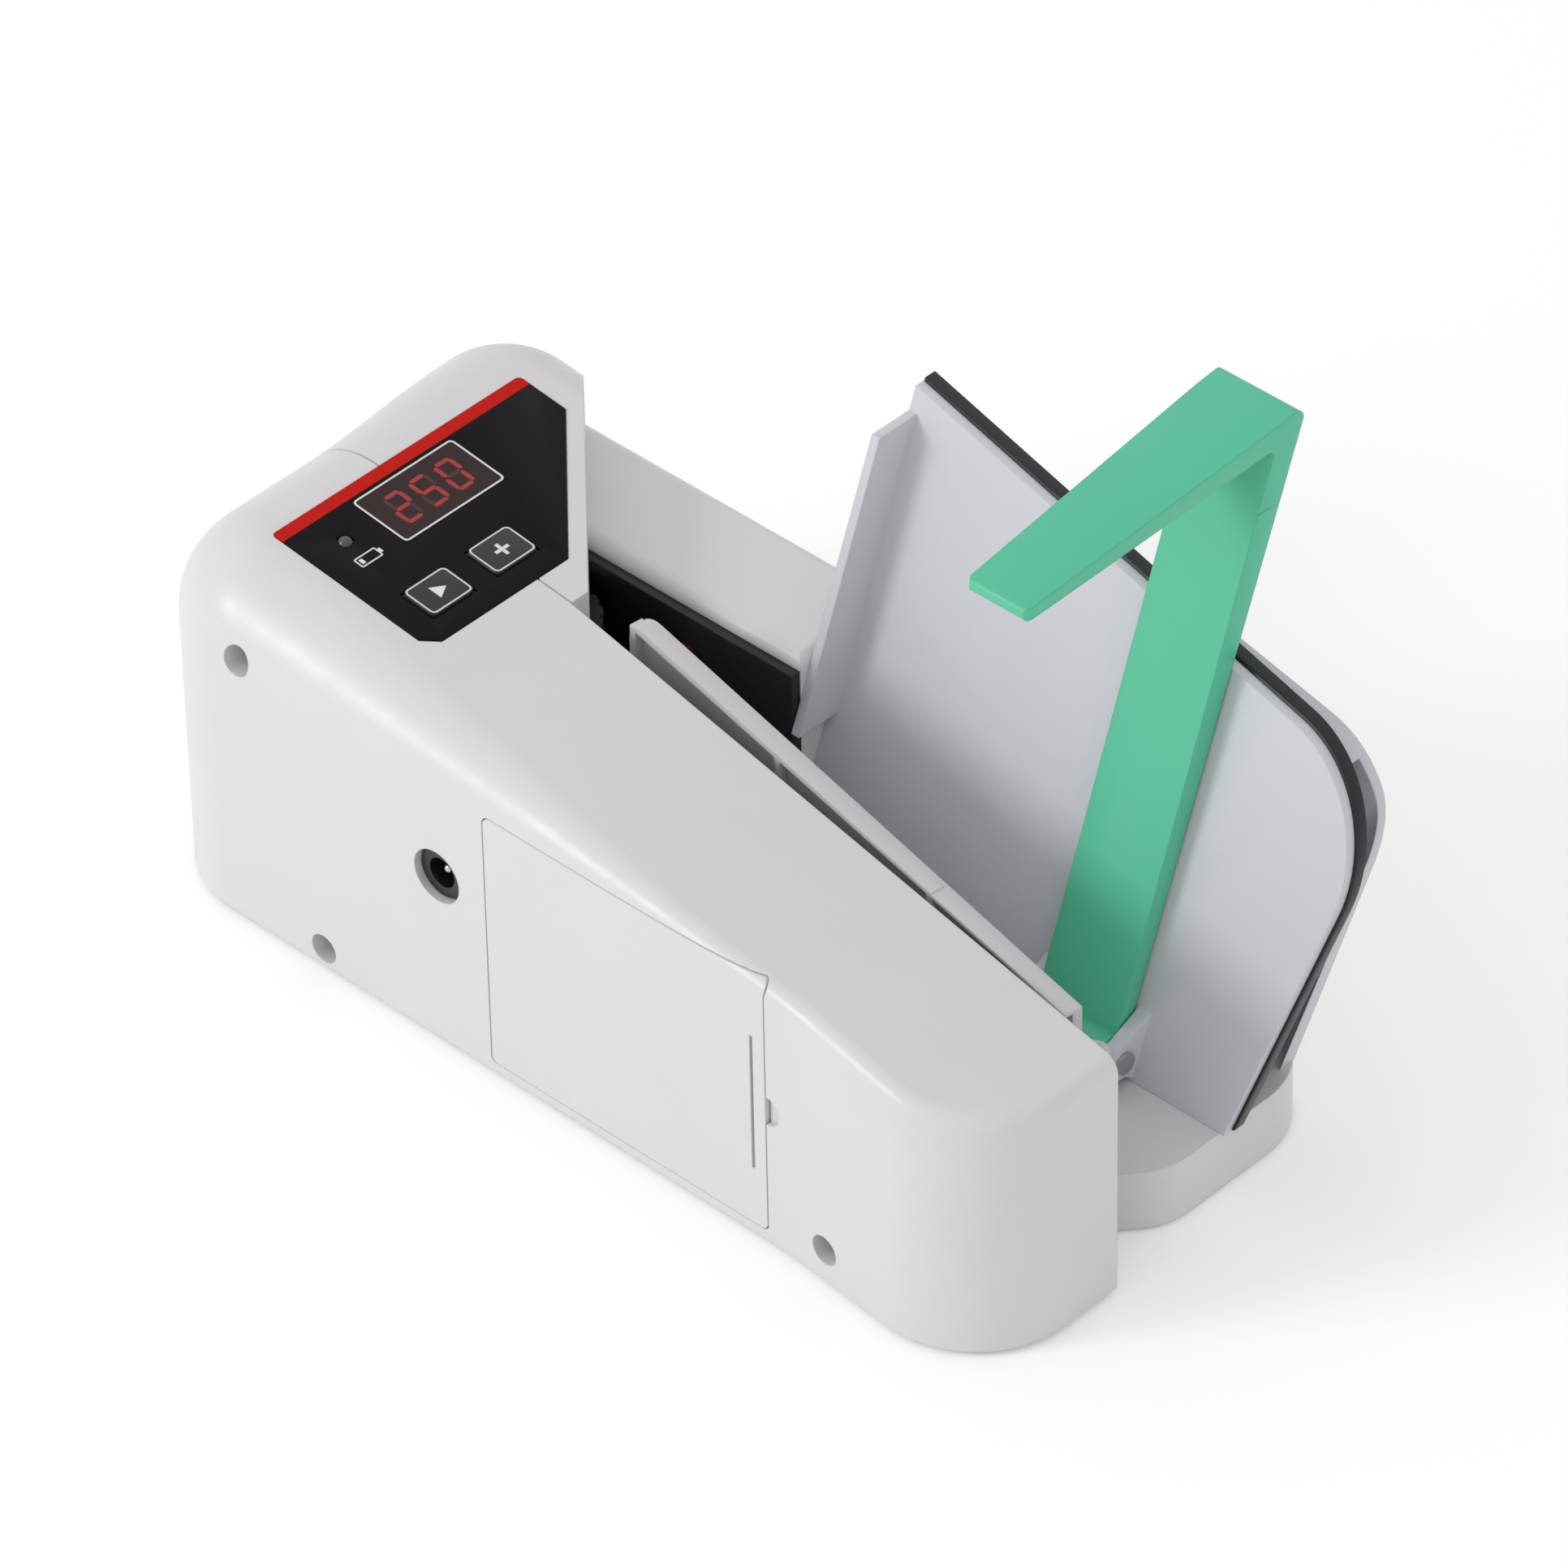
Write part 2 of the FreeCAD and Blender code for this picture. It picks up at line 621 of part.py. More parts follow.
def hopper_back():
    """Leaning back plate of the hopper, with a side flange and two lever ears."""
    depth = RIM_LEFT_Z + WALL
    plate = leaning_slab(0, PLATE_T, FLOOR_Z, depth).common(front_prism(rim_wire(0), 0, 2 * BLOCK_DEPTH))
    flange = leaning_slab(-FLANGE_D, FLANGE_D, FLANGE_Z, depth)
    flange = flange.common(box(HOPPER_LEFT_X, HOPPER_LEFT_X + PLATE_T, 0, 2 * BLOCK_DEPTH,
                               0, RIM_LEFT_Z - TRIM_H))
    y = lever_pivot_y()
    ears = []
    for side in (-1, 1):
        near = LEVER_X + side * (LEVER_W / 2 + 2 * FIT)
        far = near + side * LEVER_EAR_T
        x0, x1 = min(near, far), max(near, far)
        crest = LEVER_PIVOT_Z + LEVER_BARREL_R * 2
        foot = side_prism([(y - LEVER_BARREL_R, LEVER_PIVOT_Z, 0), (plate_y(FLOOR_Z) + 1, FLOOR_Z, 0),
                           (plate_y(crest) + 1, crest, 0), (y, LEVER_PIVOT_Z + LEVER_BARREL_R, 0)], x0, x1)
        ears.append(fuse(foot, rod_x(y, LEVER_PIVOT_Z, x0, x1, LEVER_BARREL_R)))
    pin_hole = rod_x(y, LEVER_PIVOT_Z, 0, BODY_LENGTH, LEVER_PIN_R + 0.02)
    return cut(fuse(plate, flange, *ears), pin_hole)


def hopper_section(z, inset):
    """Plan of the hopper housing at height z."""
    rise = z - FLOOR_Z
    front = plate_y(z) + lean_thickness(PLATE_T) + inset
    back = BASE_BACK_Y + OUTER_LEAN * rise - inset
    end = RIM_FOOT_X - 1 + (RIM_END_X - RIM_FOOT_X) / (RIM_LEFT_Z - FLOOR_Z) * rise * 1.35 - inset
    radius = min(HOPPER_BACK_R - inset, (back - front) * 0.6)
    small = min(HOPPER_BACK_R / 6, (back - front) * 0.2)
    wire = outline([(HOPPER_LEFT_X + inset, front, 0), (end, front, small), (end, back, radius),
                    (HOPPER_LEFT_X + inset, back, 0)])
    wire.translate(V(0, 0, z))
    return wire


def hopper_shell():
    """Hollow wedge behind the hopper plate, closed by the base below."""
    outer = Part.makeLoft([hopper_section(FLOOR_Z, 0), hopper_section(RIM_LEFT_Z, 0)], True, True)
    low, high = hopper_section(FLOOR_Z, WALL), hopper_section(HOPPER_CAVITY_Z, WALL)
    inner = Part.makeLoft([low, high], True, True)
    trimmed = outer.common(front_prism(rim_wire(TRIM_H), 0, 2 * BLOCK_DEPTH))
    return cut(trimmed, inner).Solids[0]


def rim_trim():
    """Dark edge strip that caps the joint between the hopper plate and its housing."""
    band = cut(front_prism(rim_wire(-TRIM_PROUD), 0, 2 * BLOCK_DEPTH),
               front_prism(rim_wire(TRIM_H), 0, 2 * BLOCK_DEPTH))
    strip = leaning_slab(lean_thickness(PLATE_T), TRIM_T, FLOOR_Z, RIM_LEFT_Z + 2 * WALL)
    return strip.common(band).Solids[0]


def bay_lining():
    """Dark lining of the feed bay: its floor and the wall behind it."""
    floor = prism([(SLOT_X - WALL, SEAM_Y + 1, 0), (HOPPER_LEFT_X, SEAM_Y + 1, 0),
                   (HOPPER_LEFT_X, BAY_WALL_Y, 0), (DIAGONAL_REACH - BAY_WALL_Y, BAY_WALL_Y, 0),
                   (SLOT_X, DIAGONAL_REACH - SLOT_X, 0)], FLOOR_Z, FLOOR_Z + BAY_LINING_T)
    wall = box(DIAGONAL_REACH - BAY_WALL_Y - WALL, HOPPER_LEFT_X - FIT, BAY_WALL_Y, BAY_WALL_Y + WALL,
               FLOOR_Z, HUMP_TOP_Z - HUMP_R)
    block = body_half(0, False)
    front = front_half_block()
    return cut(fuse(floor, wall), block, front)


def front_half_block():
    """Plain solid of the front body, for trimming what stands behind it."""
    return body_half(0, True)


def slot_wall():
    """Inner wall that closes the back of the front body, with the flap's hinge lugs."""
    fit = body_half(WALL + FIT, True)
    fit.translate(SLOT_NORMAL * (WALL + FIT))
    wall = fit.common(slot_slab(0)).common(box(0, BODY_LENGTH, 0, SEAM_Y, 0, LEFT_HEIGHT))
    y = flap_pivot_y()
    lugs = []
    for z in LUG_Z:
        arm = box(FLAP_PIVOT_X - FLAP_KNUCKLE_R, FLAP_PIVOT_X + FLAP_KNUCKLE_R,
                  slot_y(FLAP_PIVOT_X) - 1, y, z, z + LUG_H)
        lugs.append(fuse(arm, rod(FLAP_PIVOT_X, y, z, z + LUG_H, FLAP_KNUCKLE_R)))
    holes = [rod(FLAP_PIVOT_X, y, 0, LEFT_HEIGHT, FLAP_PIN_R + 0.02)]
    holes += [rod_y(x, z, 0, BLOCK_DEPTH, SCREW_R + FIT) for x, z in HOUSING_SCREWS if x > SLOT_X]
    holes.append(rod_y(SENSOR_X, SENSOR_Z, 0, BLOCK_DEPTH, SENSOR_R))
    return cut(fuse(wall, *lugs), *holes)


SENSOR_X = 76.0
SENSOR_Z = 50.0
SENSOR_R = 2.5


def sensor_receiver():
    """Light receiver let into the slot wall."""
    y = slot_y(SENSOR_X)
    body = rod_y(SENSOR_X, SENSOR_Z, y - 6, y + 0.4, SENSOR_R)
    collar = rod_y(SENSOR_X, SENSOR_Z, y - 6, y - SLOT_WALL_T - 0.4, SENSOR_R + 0.5)
    return fuse(body, collar)


def sensor_emitter():
    """Light emitter in the bay wall, facing the receiver."""
    y = BAY_WALL_Y
    lens = Part.makeSphere(SENSOR_R, V(SENSOR_X, y - 1.5, SENSOR_Z)).common(
        rod_y(SENSOR_X, SENSOR_Z, y - 6, y, SENSOR_R))
    return fuse(rod_y(SENSOR_X, SENSOR_Z, y - 1.5, y, SENSOR_R), lens)


def flap_pivot_y():
    return slot_y(FLAP_PIVOT_X) + FLAP_PIVOT_GAP


def receiving_flap():
    """Receiving flap: ribbed plate with a top lip and a hinge knuckle."""
    def local_top(x):
        return top_z(FLAP_PIVOT_X + x) + FLAP_PROUD
    end = -FLAP_LENGTH
    wire = outline([(end, FLAP_Z0, 2.5), (-FLAP_PIN_R, FLAP_Z0, 0),
                    (-FLAP_PIN_R, local_top(0) - FLAP_LIP_H, 0), (end, local_top(end), 6.0)])
    half = FLAP_T / 2
    plate = front_prism(wire, -half, half)
    lip_front = -half - FLAP_FLANGE
    lip = front_prism(wire, lip_front, half).common(front_prism(outline(
        [(end - 1, local_top(end) - FLAP_LIP_H, 0), (0, local_top(0) - FLAP_LIP_H - FLAP_PROUD, 0),
         (0, local_top(0) + WALL, 0), (end - 1, local_top(end) + WALL, 0)]), lip_front, half))
    ribs = []
    for x in (end + 2.5, end * 0.66, end * 0.33):
        far = x + FLAP_LIP_H
        rib = outline([(x, FLAP_Z0, 0), (far, FLAP_Z0, 0),
                       (far, local_top(far) - 1, 0), (x, local_top(x) - 1, 0)])
        ribs.append(front_prism(rib, lip_front, 0))
    gap = LUG_H * 0.1
    z0, z1 = LUG_Z[0] + LUG_H + gap, LUG_Z[1] - gap
    knuckle = rod(0, 0, z0, z1, FLAP_KNUCKLE_R)
    relief = []
    for low, high in ((0, z0), (z1, LEFT_HEIGHT)):
        relief.append(box(-FLAP_KNUCKLE_R - 1.2, FLAP_KNUCKLE_R, -2 * FLAP_KNUCKLE_R, 2 * FLAP_KNUCKLE_R,
                          low, high))
    flap = fuse(cut(fuse(plate, lip, *ribs), *relief), knuckle)
    flap = cut(flap, rod(0, 0, 0, LEFT_HEIGHT, FLAP_PIN_R + 0.06))
    flap.rotate(V(0, 0, 0), V(0, 0, 1), -FLAP_OPEN)
    flap.translate(V(FLAP_PIVOT_X, flap_pivot_y(), 0))
    return flap


def flap_pin():
    """Hinge pin of the flap, with a head on the upper lug."""
    y = flap_pivot_y()
    top = LUG_Z[1] + LUG_H
    pin = rod(FLAP_PIVOT_X, y, LUG_Z[0] - 0.5, top, FLAP_PIN_R)
    return fuse(pin, rod(FLAP_PIVOT_X, y, top, top + 0.8, FLAP_PIN_R * 1.7))


def press_lever():
    """Press lever: a leg against the hopper plate, folded over into a tapered strip."""
    def leg_y(z):
        return plate_y(z) - lean_thickness(LEVER_GAP)
    slope = LEVER_RISE
    fold_y = (leg_y(0) + LEAN * (LEVER_TIP_Z - slope * LEVER_TIP_Y)) / (1 - LEAN * slope)
    fold_z = LEVER_TIP_Z + slope * (fold_y - LEVER_TIP_Y)
    low = LEVER_PIVOT_Z - LEVER_BARREL_R / 2
    inner_z = fold_z - LEVER_FOLD_T + 0.8
    inner_y = leg_y(inner_z) - LEVER_FOLD_T
    side = side_prism([(leg_y(low), low, 0), (fold_y, fold_z, LEVER_FOLD_R),
                       (LEVER_TIP_Y, LEVER_TIP_Z, 0.8), (LEVER_TIP_Y, LEVER_TIP_Z - LEVER_TIP_T, 0.8),
                       (inner_y, inner_z, LEVER_FOLD_R * 0.6), (leg_y(low) - LEVER_LEG_T, low, 0)],
                      LEVER_X - LEVER_W / 2, LEVER_X + LEVER_W / 2)
    half, tip = LEVER_W / 2, LEVER_TIP_W / 2
    behind = BLOCK_DEPTH * 2
    plan = prism([(LEVER_X - tip, LEVER_TIP_Y - 1, 3.0), (LEVER_X + tip, LEVER_TIP_Y - 1, 3.0),
                  (LEVER_X + half, inner_y, 0), (LEVER_X + half, behind, 0),
                  (LEVER_X - half, behind, 0), (LEVER_X - half, inner_y, 0)],
                 inner_z - LEVER_FOLD_T * 2, LEVER_TIP_Z + LEFT_HEIGHT)
    leg = side.common(box(0, BODY_LENGTH, 0, behind, 0, inner_z - LEVER_FOLD_T * 2))
    strip = side.common(plan)
    barrel = rod_x(lever_pivot_y(), LEVER_PIVOT_Z, LEVER_X - half, LEVER_X + half, LEVER_BARREL_R)
    pin_hole = rod_x(lever_pivot_y(), LEVER_PIVOT_Z, 0, BODY_LENGTH, LEVER_PIN_R + 0.05)
    return cut(fuse(strip, leg, barrel), pin_hole)


def lever_pin():
    """Pivot pin of the press lever, with a head outside each ear."""
    y = lever_pivot_y()
    reach = LEVER_W / 2 + 2 * FIT + LEVER_EAR_T
    return fuse(rod_x(y, LEVER_PIVOT_Z, LEVER_X - reach, LEVER_X + reach, LEVER_PIN_R),
                rod_x(y, LEVER_PIVOT_Z, LEVER_X - reach - 0.8, LEVER_X - reach, LEVER_PIN_R * 1.5),
                rod_x(y, LEVER_PIVOT_Z, LEVER_X + reach, LEVER_X + reach + 0.8, LEVER_PIN_R * 1.5))


def control_panel():
    """Dark overlay with openings for the window, keys and lamp."""
    sheet = on_top(prism(panel_corners(0), -PANEL_RECESS, PANEL_T - PANEL_RECESS))
    band = top_box(PANEL_X0 - 1, PANEL_X0 + STRIPE_W, 0, BLOCK_DEPTH, -WALL, WALL)
    return cut(sheet, *panel_recess()[1:], band)


def red_stripe():
    """Red band along the left edge of the panel."""
    sheet = on_top(prism(panel_corners(0), -PANEL_RECESS, PANEL_T - PANEL_RECESS))
    return sheet.common(top_box(PANEL_X0 - 1, PANEL_X0 + STRIPE_W, 0, BLOCK_DEPTH, -WALL, WALL))


def display_window():
    """Tinted lens over the digits."""
    return top_box(WINDOW_X - WINDOW_W / 2, WINDOW_X + WINDOW_W / 2,
                   WINDOW_Y - WINDOW_L / 2, WINDOW_Y + WINDOW_L / 2, -LENS_T, PANEL_T - PANEL_RECESS)


def display_module():
    """Three-digit display block on the main board."""
    half_w, half_l = WINDOW_W / 2 - 0.4, WINDOW_L / 2 - 0.8
    return top_box(WINDOW_X - half_w, WINDOW_X + half_w, WINDOW_Y - half_l, WINDOW_Y + half_l,
                   BOARD_TOP, -LENS_T)


def key(y):
    """Key cap with a lip under the top wall."""
    cap = prism([(KEY_X - KEY_W / 2, y - KEY_L / 2, 1.2), (KEY_X + KEY_W / 2, y - KEY_L / 2, 1.2),
                 (KEY_X + KEY_W / 2, y + KEY_L / 2, 1.2), (KEY_X - KEY_W / 2, y + KEY_L / 2, 1.2)],
                -WALL - KEY_LIP, PANEL_T - PANEL_RECESS + KEY_PROUD)
    lip = box(KEY_X - KEY_W / 2 - KEY_LIP, KEY_X + KEY_W / 2 + KEY_LIP,
              y - KEY_L / 2 - KEY_LIP, y + KEY_L / 2 + KEY_LIP, -WALL - KEY_LIP, -WALL - FIT)
    return on_top(fuse(cap, lip))


def key_switches():
    """Two push switches on the main board, one under each key."""
    made = []
    for y in (START_Y, ADD_Y):
        body = box(KEY_X - 3, KEY_X + 3, y - 3, y + 3, BOARD_TOP, BOARD_TOP + 3.2)
        stem_top = -WALL - KEY_LIP - KEY_TRAVEL - FIT
        stem = rod(KEY_X, y, BOARD_TOP + 3.2, stem_top, 1.7)
        made.append(on_top(fuse(body, stem)))
    return made


def battery_lamp():
    """Low-battery lamp in the panel, standing on the main board."""
    body = top_rod(LAMP_X, LAMP_Y, BOARD_TOP, PANEL_T - PANEL_RECESS - LAMP_R / 2, LAMP_R)
    dome = on_top(Part.makeSphere(LAMP_R, V(LAMP_X, LAMP_Y, PANEL_T - PANEL_RECESS - LAMP_R / 2)))
    flange = top_rod(LAMP_X, LAMP_Y, BOARD_TOP, BOARD_TOP + 1, LAMP_R + 0.4)
    return fuse(body, dome, flange)


def main_board():
    """Circuit board under the panel, with its corner cut away along the diagonal."""
    reach = DIAGONAL_REACH - 3 * WALL - BOARD_BOSS_R
    plate = prism([(BOARD_X0, BOARD_Y0, 1), (BOARD_X1, BOARD_Y0, 1), (BOARD_X1, reach - BOARD_X1, 0.5),
                   (reach - BOARD_Y1, BOARD_Y1, 0.5), (BOARD_X0, BOARD_Y1, 1)],
                  BOARD_TOP - BOARD_T, BOARD_TOP)
    chips = [box(38, 46, 54, 61, BOARD_TOP - BOARD_T - 1.4, BOARD_TOP - BOARD_T),
             box(36, 41, 26, 31, BOARD_TOP - BOARD_T - 1.2, BOARD_TOP - BOARD_T)]
    holes = [rod(x, y, BOARD_TOP - 2 * BOARD_T, BOARD_TOP + 1, SCREW_HOLE_R + FIT) for x, y in BOARD_SCREWS]
    return on_top(cut(fuse(plate, *chips), *holes))


def board_screws():
    """Four screws that hold the main board to the shells."""
    made = []
    for x, y in BOARD_SCREWS:
        low = BOARD_TOP - BOARD_T
        shank = rod(x, y, low, BOARD_TOP + WALL, SCREW_HOLE_R)
        made.append(on_top(fuse(shank, rod(x, y, low - 1.2, low, 2 * SCREW_HOLE_R))))
    return made


def housing_screws():
    """Screws that draw the front shell to the rear one."""
    made = []
    for x, z in HOUSING_SCREWS:
        seat = screw_seat(x, z)
        end = seam_at(x) + SCREW_BITE - 1
        shank = rod_y(x, z, seat, end, SCREW_R)
        head = rod_y(x, z, seat - SCREW_HEAD_H, seat, SCREW_HEAD_R)
        slot = box(x - 0.5, x + 0.5, seat - SCREW_HEAD_H - 1, seat - SCREW_HEAD_H / 2, z - 1.6, z + 1.6)
        cross = box(x - 1.6, x + 1.6, seat - SCREW_HEAD_H - 1, seat - SCREW_HEAD_H / 2, z - 0.5, z + 0.5)
        made.append(cut(fuse(shank, head), slot, cross))
    return made


def battery_door():
    """Door taken out of the front wall, with two hooks, a latch tongue and its slit."""
    skin = cut(body_half(0, True), body_half(DOOR_T, True))
    panel = skin.common(door_block(0)).common(box(0, BODY_LENGTH, -WALL, BOX_Y0 - DOOR_GAP, 0, LEFT_HEIGHT))
    hooks = []
    inside = WALL + 2 * FIT
    for z in HOOK_Z:
        hooks.append(box(DOOR_X0 + 0.6, DOOR_X0 + 6, DOOR_T / 2, inside + 0.2, z, z + HOOK_H))
        hooks.append(box(DOOR_X0 - 2.8, DOOR_X0 + 6, inside, inside + 1.6, z, z + HOOK_H))
    x = DOOR_X1 - LATCH_W
    slit = box(x - 0.35, x + 0.35, -1, WALL + 1, LATCH_Z0, LATCH_Z1)
    middle = (LATCH_Z0 + LATCH_Z1) / 2
    tongue = box(x + 0.6, DOOR_X1 - 0.2, DOOR_T / 2, DOOR_T + 2.2, middle - 5, middle + 5)
    return cut(fuse(panel, *hooks, tongue), slit)


BOX_X0 = (DOOR_X0 + DOOR_X1 - CELL_COUNT * CELL_PITCH) / 2
BOX_X1 = BOX_X0 + CELL_COUNT * CELL_PITCH


def battery_box():
    """Tray for four upright cells, open to the door, with cradle ribs between the cells."""
    outer = box(BOX_X0 - BOX_WALL, BOX_X1 + BOX_WALL, BOX_Y0, BOX_Y1, BOX_Z0, BOX_Z1)
    hollow = box(BOX_X0, BOX_X1, BOX_Y0 - 1, BOX_Y1 - BOX_WALL, BOX_Z0 + BOX_WALL, BOX_Z1 - BOX_WALL)
    ribs = []
    for i in range(1, CELL_COUNT):
        x = BOX_X0 + i * CELL_PITCH
        ribs.append(box(x - 0.5, x + 0.5, BOX_Y1 - 4.2, BOX_Y1 - 1, BOX_Z0 + BOX_WALL, BOX_Z1 - BOX_WALL))
    back = box(BOX_X0 + CELL_PITCH, BOX_X1 - CELL_PITCH, BOX_Y1 - WALL / 2,
               slot_y(DOOR_X1) - SLOT_WALL_T - FIT, BOX_Z0 + 8, BOX_Z0 + 12)
    return fuse(cut(outer, hollow), *ribs, back)


def cell_axis(i):
    """Plan position of a cell's axis in the battery box."""
    return BOX_X0 + (i + 0.5) * CELL_PITCH, BOX_Y1 - BOX_WALL - CELL_D / 2 - FIT


def battery_contacts():
    """Contact plates at both ends of each cell."""
    made = []
    for i in range(CELL_COUNT):
        x, y = cell_axis(i)
        for z in (BOX_Z0 + BOX_WALL, BOX_Z1 - BOX_WALL - CONTACT_T):
            made.append(box(x - 5.5, x + 5.5, y - 6, y + 6, z, z + CONTACT_T))
    return made


def leaf_spring(x, y, z0, sign):
    """Bent contact strip that presses on one end of a cell."""
    half = LEAF_L / 2
    low, high = z0, z0 + sign * LEAF_H
    t = sign * LEAF_T
    return side_prism([(y - half, low, 0), (y + half, low, 0), (y + half, low + t, 0),
                       (y - half / 2, low + t, 0), (y + half / 3, high, 0),
                       (y + half / 3, high + t, 0), (y - half, low + t, 0)],
                      x - LEAF_W / 2, x + LEAF_W / 2)


def battery_springs():
    """One contact spring for each cell, at alternate ends."""
    made = []
    for i in range(CELL_COUNT):
        x, y = cell_axis(i)
        if i % 2:
            made.append(leaf_spring(x, y, BOX_Z1 - BOX_WALL - CONTACT_T, -1))
        else:
            made.append(leaf_spring(x, y, BOX_Z0 + BOX_WALL + CONTACT_T, 1))
    return made


def dc_jack():
    """Power socket held in the front shell's collar."""
    y0 = JACK_SET_BACK
    body = rod_y(JACK_X, JACK_Z, y0, JACK_DEPTH + 2, JACK_BODY_R)
    flange = rod_y(JACK_X, JACK_Z, JACK_DEPTH, JACK_DEPTH + 2, JACK_HOLE_R + WALL / 2)
    return cut(fuse(body, flange), rod_y(JACK_X, JACK_Z, y0 - 1, JACK_DEPTH, JACK_BORE_R))


def jack_contact():
    """Centre pin of the power socket."""
    tip = Part.makeSphere(JACK_PIN_R, V(JACK_X, JACK_SET_BACK + 1 + JACK_PIN_R, JACK_Z))
    return fuse(rod_y(JACK_X, JACK_Z, JACK_SET_BACK + 1 + JACK_PIN_R, JACK_DEPTH, JACK_PIN_R), tip)


def jack_board():
    """Small board behind the power socket."""
    y0 = JACK_DEPTH + 2
    return box(JACK_X - 8, JACK_X + 8, y0, y0 + BOARD_T, JACK_Z - 9, JACK_Z + 9)


# Feed drive positions: along runs the diagonal wall and inward leaves it at right angles.
ALONG = V(-math.sqrt(0.5), math.sqrt(0.5), 0)
INWARD = V(-math.sqrt(0.5), -math.sqrt(0.5), 0)
ROLLER_AXIS = V(ROLLER_X, ROLLER_Y, 0)
IDLER_AXIS = ROLLER_AXIS + INWARD * (GEAR_MODULE * (ROLLER_TEETH + IDLER_TEETH) / 2)
MOTOR_AXIS = IDLER_AXIS + INWARD * (GEAR_MODULE * (IDLER_TEETH + PINION_TEETH) / 2)


def heading(start, end):
    """Plan direction from one axis to another, in radians."""
    return math.atan2(end.y - start.y, end.x - start.x)


def gear(axis, teeth, z0, z1, tooth_at):
    """Spur gear blank with straight-flanked teeth, one of them centred on tooth_at."""
    pitch_r = GEAR_MODULE * teeth / 2
    tip_r, root_r = pitch_r + 0.8 * GEAR_MODULE, pitch_r - 1.1 * GEAR_MODULE
    share = math.pi / teeth
    points = []
    for i in range(teeth):
        middle = tooth_at + 2 * share * i
        for r, half in ((root_r, 0.66), (tip_r, 0.24)):
            points.append((r, middle - half * share))
        for r, half in ((tip_r, 0.24), (root_r, 0.66)):
            points.append((r, middle + half * share))
    ring = [V(axis.x + r * math.cos(a), axis.y + r * math.sin(a), z0) for r, a in points]
    return Part.Face(Part.makePolygon(ring + ring[:1])).extrude(V(0, 0, z1 - z0))


def motor_pinion():
    """Pinion on the motor shaft, with a gap facing the idler."""
    toward = heading(MOTOR_AXIS, IDLER_AXIS) + math.pi / PINION_TEETH
    teeth = gear(MOTOR_AXIS, PINION_TEETH, GEAR_Z, GEAR_Z + GEAR_T, toward)
    return cut(teeth, rod(MOTOR_AXIS.x, MOTOR_AXIS.y, 0, LEFT_HEIGHT, SHAFT_R / 2))


def idler_gear():
    """Idler between the motor and the roller, with a tooth on the line of centres."""
    teeth = gear(IDLER_AXIS, IDLER_TEETH, GEAR_Z, GEAR_Z + GEAR_T, heading(IDLER_AXIS, MOTOR_AXIS))
    return cut(teeth, rod(IDLER_AXIS.x, IDLER_AXIS.y, 0, LEFT_HEIGHT, SHAFT_R / 2 + 0.05))


def idler_axle():
    """Fixed pin that carries the idler, with a collar under the gear."""
    x, y = IDLER_AXIS.x, IDLER_AXIS.y
    return fuse(rod(x, y, CHASSIS_Z, GEAR_Z + GEAR_T + 1, SHAFT_R / 2),
                rod(x, y, CHASSIS_Z + CHASSIS_T, GEAR_Z - 0.05, SHAFT_R))


def roller_gear():
    """Driven gear on the roller shaft, with a gap facing the idler."""
    toward = heading(ROLLER_AXIS, IDLER_AXIS) + math.pi / ROLLER_TEETH
    top = GEAR_Z + GEAR_T
    teeth = gear(ROLLER_AXIS, ROLLER_TEETH, GEAR_Z, top, toward)
    hub = rod(ROLLER_X, ROLLER_Y, top, top + 2, 1.5 * SHAFT_R)
    return cut(fuse(teeth, hub), rod(ROLLER_X, ROLLER_Y, 0, LEFT_HEIGHT, SHAFT_R))


def roller_shaft():
    """Steel shaft of the feed roller, stepped onto its lower bush."""
    low = rod(ROLLER_X, ROLLER_Y, CHASSIS_Z, CHASSIS_TOP_Z + CHASSIS_T, SHAFT_R)
    step = rod(ROLLER_X, ROLLER_Y, CHASSIS_Z + CHASSIS_T + 0.05, GEAR_Z, SHAFT_R * 1.6)
    return fuse(low, step)


def roller_hub():
    """Moulded hub between the shaft and the rubber."""
    body = rod(ROLLER_X, ROLLER_Y, ROLLER_Z0, ROLLER_Z1, HUB_R)
    neck = rod(ROLLER_X, ROLLER_Y, GEAR_Z + GEAR_T + 2, ROLLER_Z0, 1.5 * SHAFT_R)
    return cut(fuse(body, neck), rod(ROLLER_X, ROLLER_Y, 0, LEFT_HEIGHT, SHAFT_R))


def feed_tyres():
    """Two rubber tyres on the roller, each with a grooved tread."""
    made = []
    height = (ROLLER_Z1 - ROLLER_Z0) * 0.42
    for z0 in (ROLLER_Z0, ROLLER_Z1 - height):
        z1 = z0 + height
        ring = cut(rod(ROLLER_X, ROLLER_Y, z0, z1, ROLLER_R), rod(ROLLER_X, ROLLER_Y, z0, z1, HUB_R))
        grooves = []
        for i in range(TREAD_GROOVES):
            a = 2 * math.pi * i / TREAD_GROOVES
            x, y = ROLLER_X + ROLLER_R * math.cos(a), ROLLER_Y + ROLLER_R * math.sin(a)
            grooves.append(rod(x, y, z0, z1, 0.7))
        made.append(cut(ring, *grooves))
    return made


def shaft_bushes():
    """Bushes that carry the roller shaft in the chassis."""
    made = []
    for z in (CHASSIS_Z, CHASSIS_TOP_Z):
        bush = fuse(rod(ROLLER_X, ROLLER_Y, z, z + CHASSIS_T, BUSH_R))
        made.append(cut(bush, rod(ROLLER_X, ROLLER_Y, 0, LEFT_HEIGHT, SHAFT_R + 0.04)))
    return made


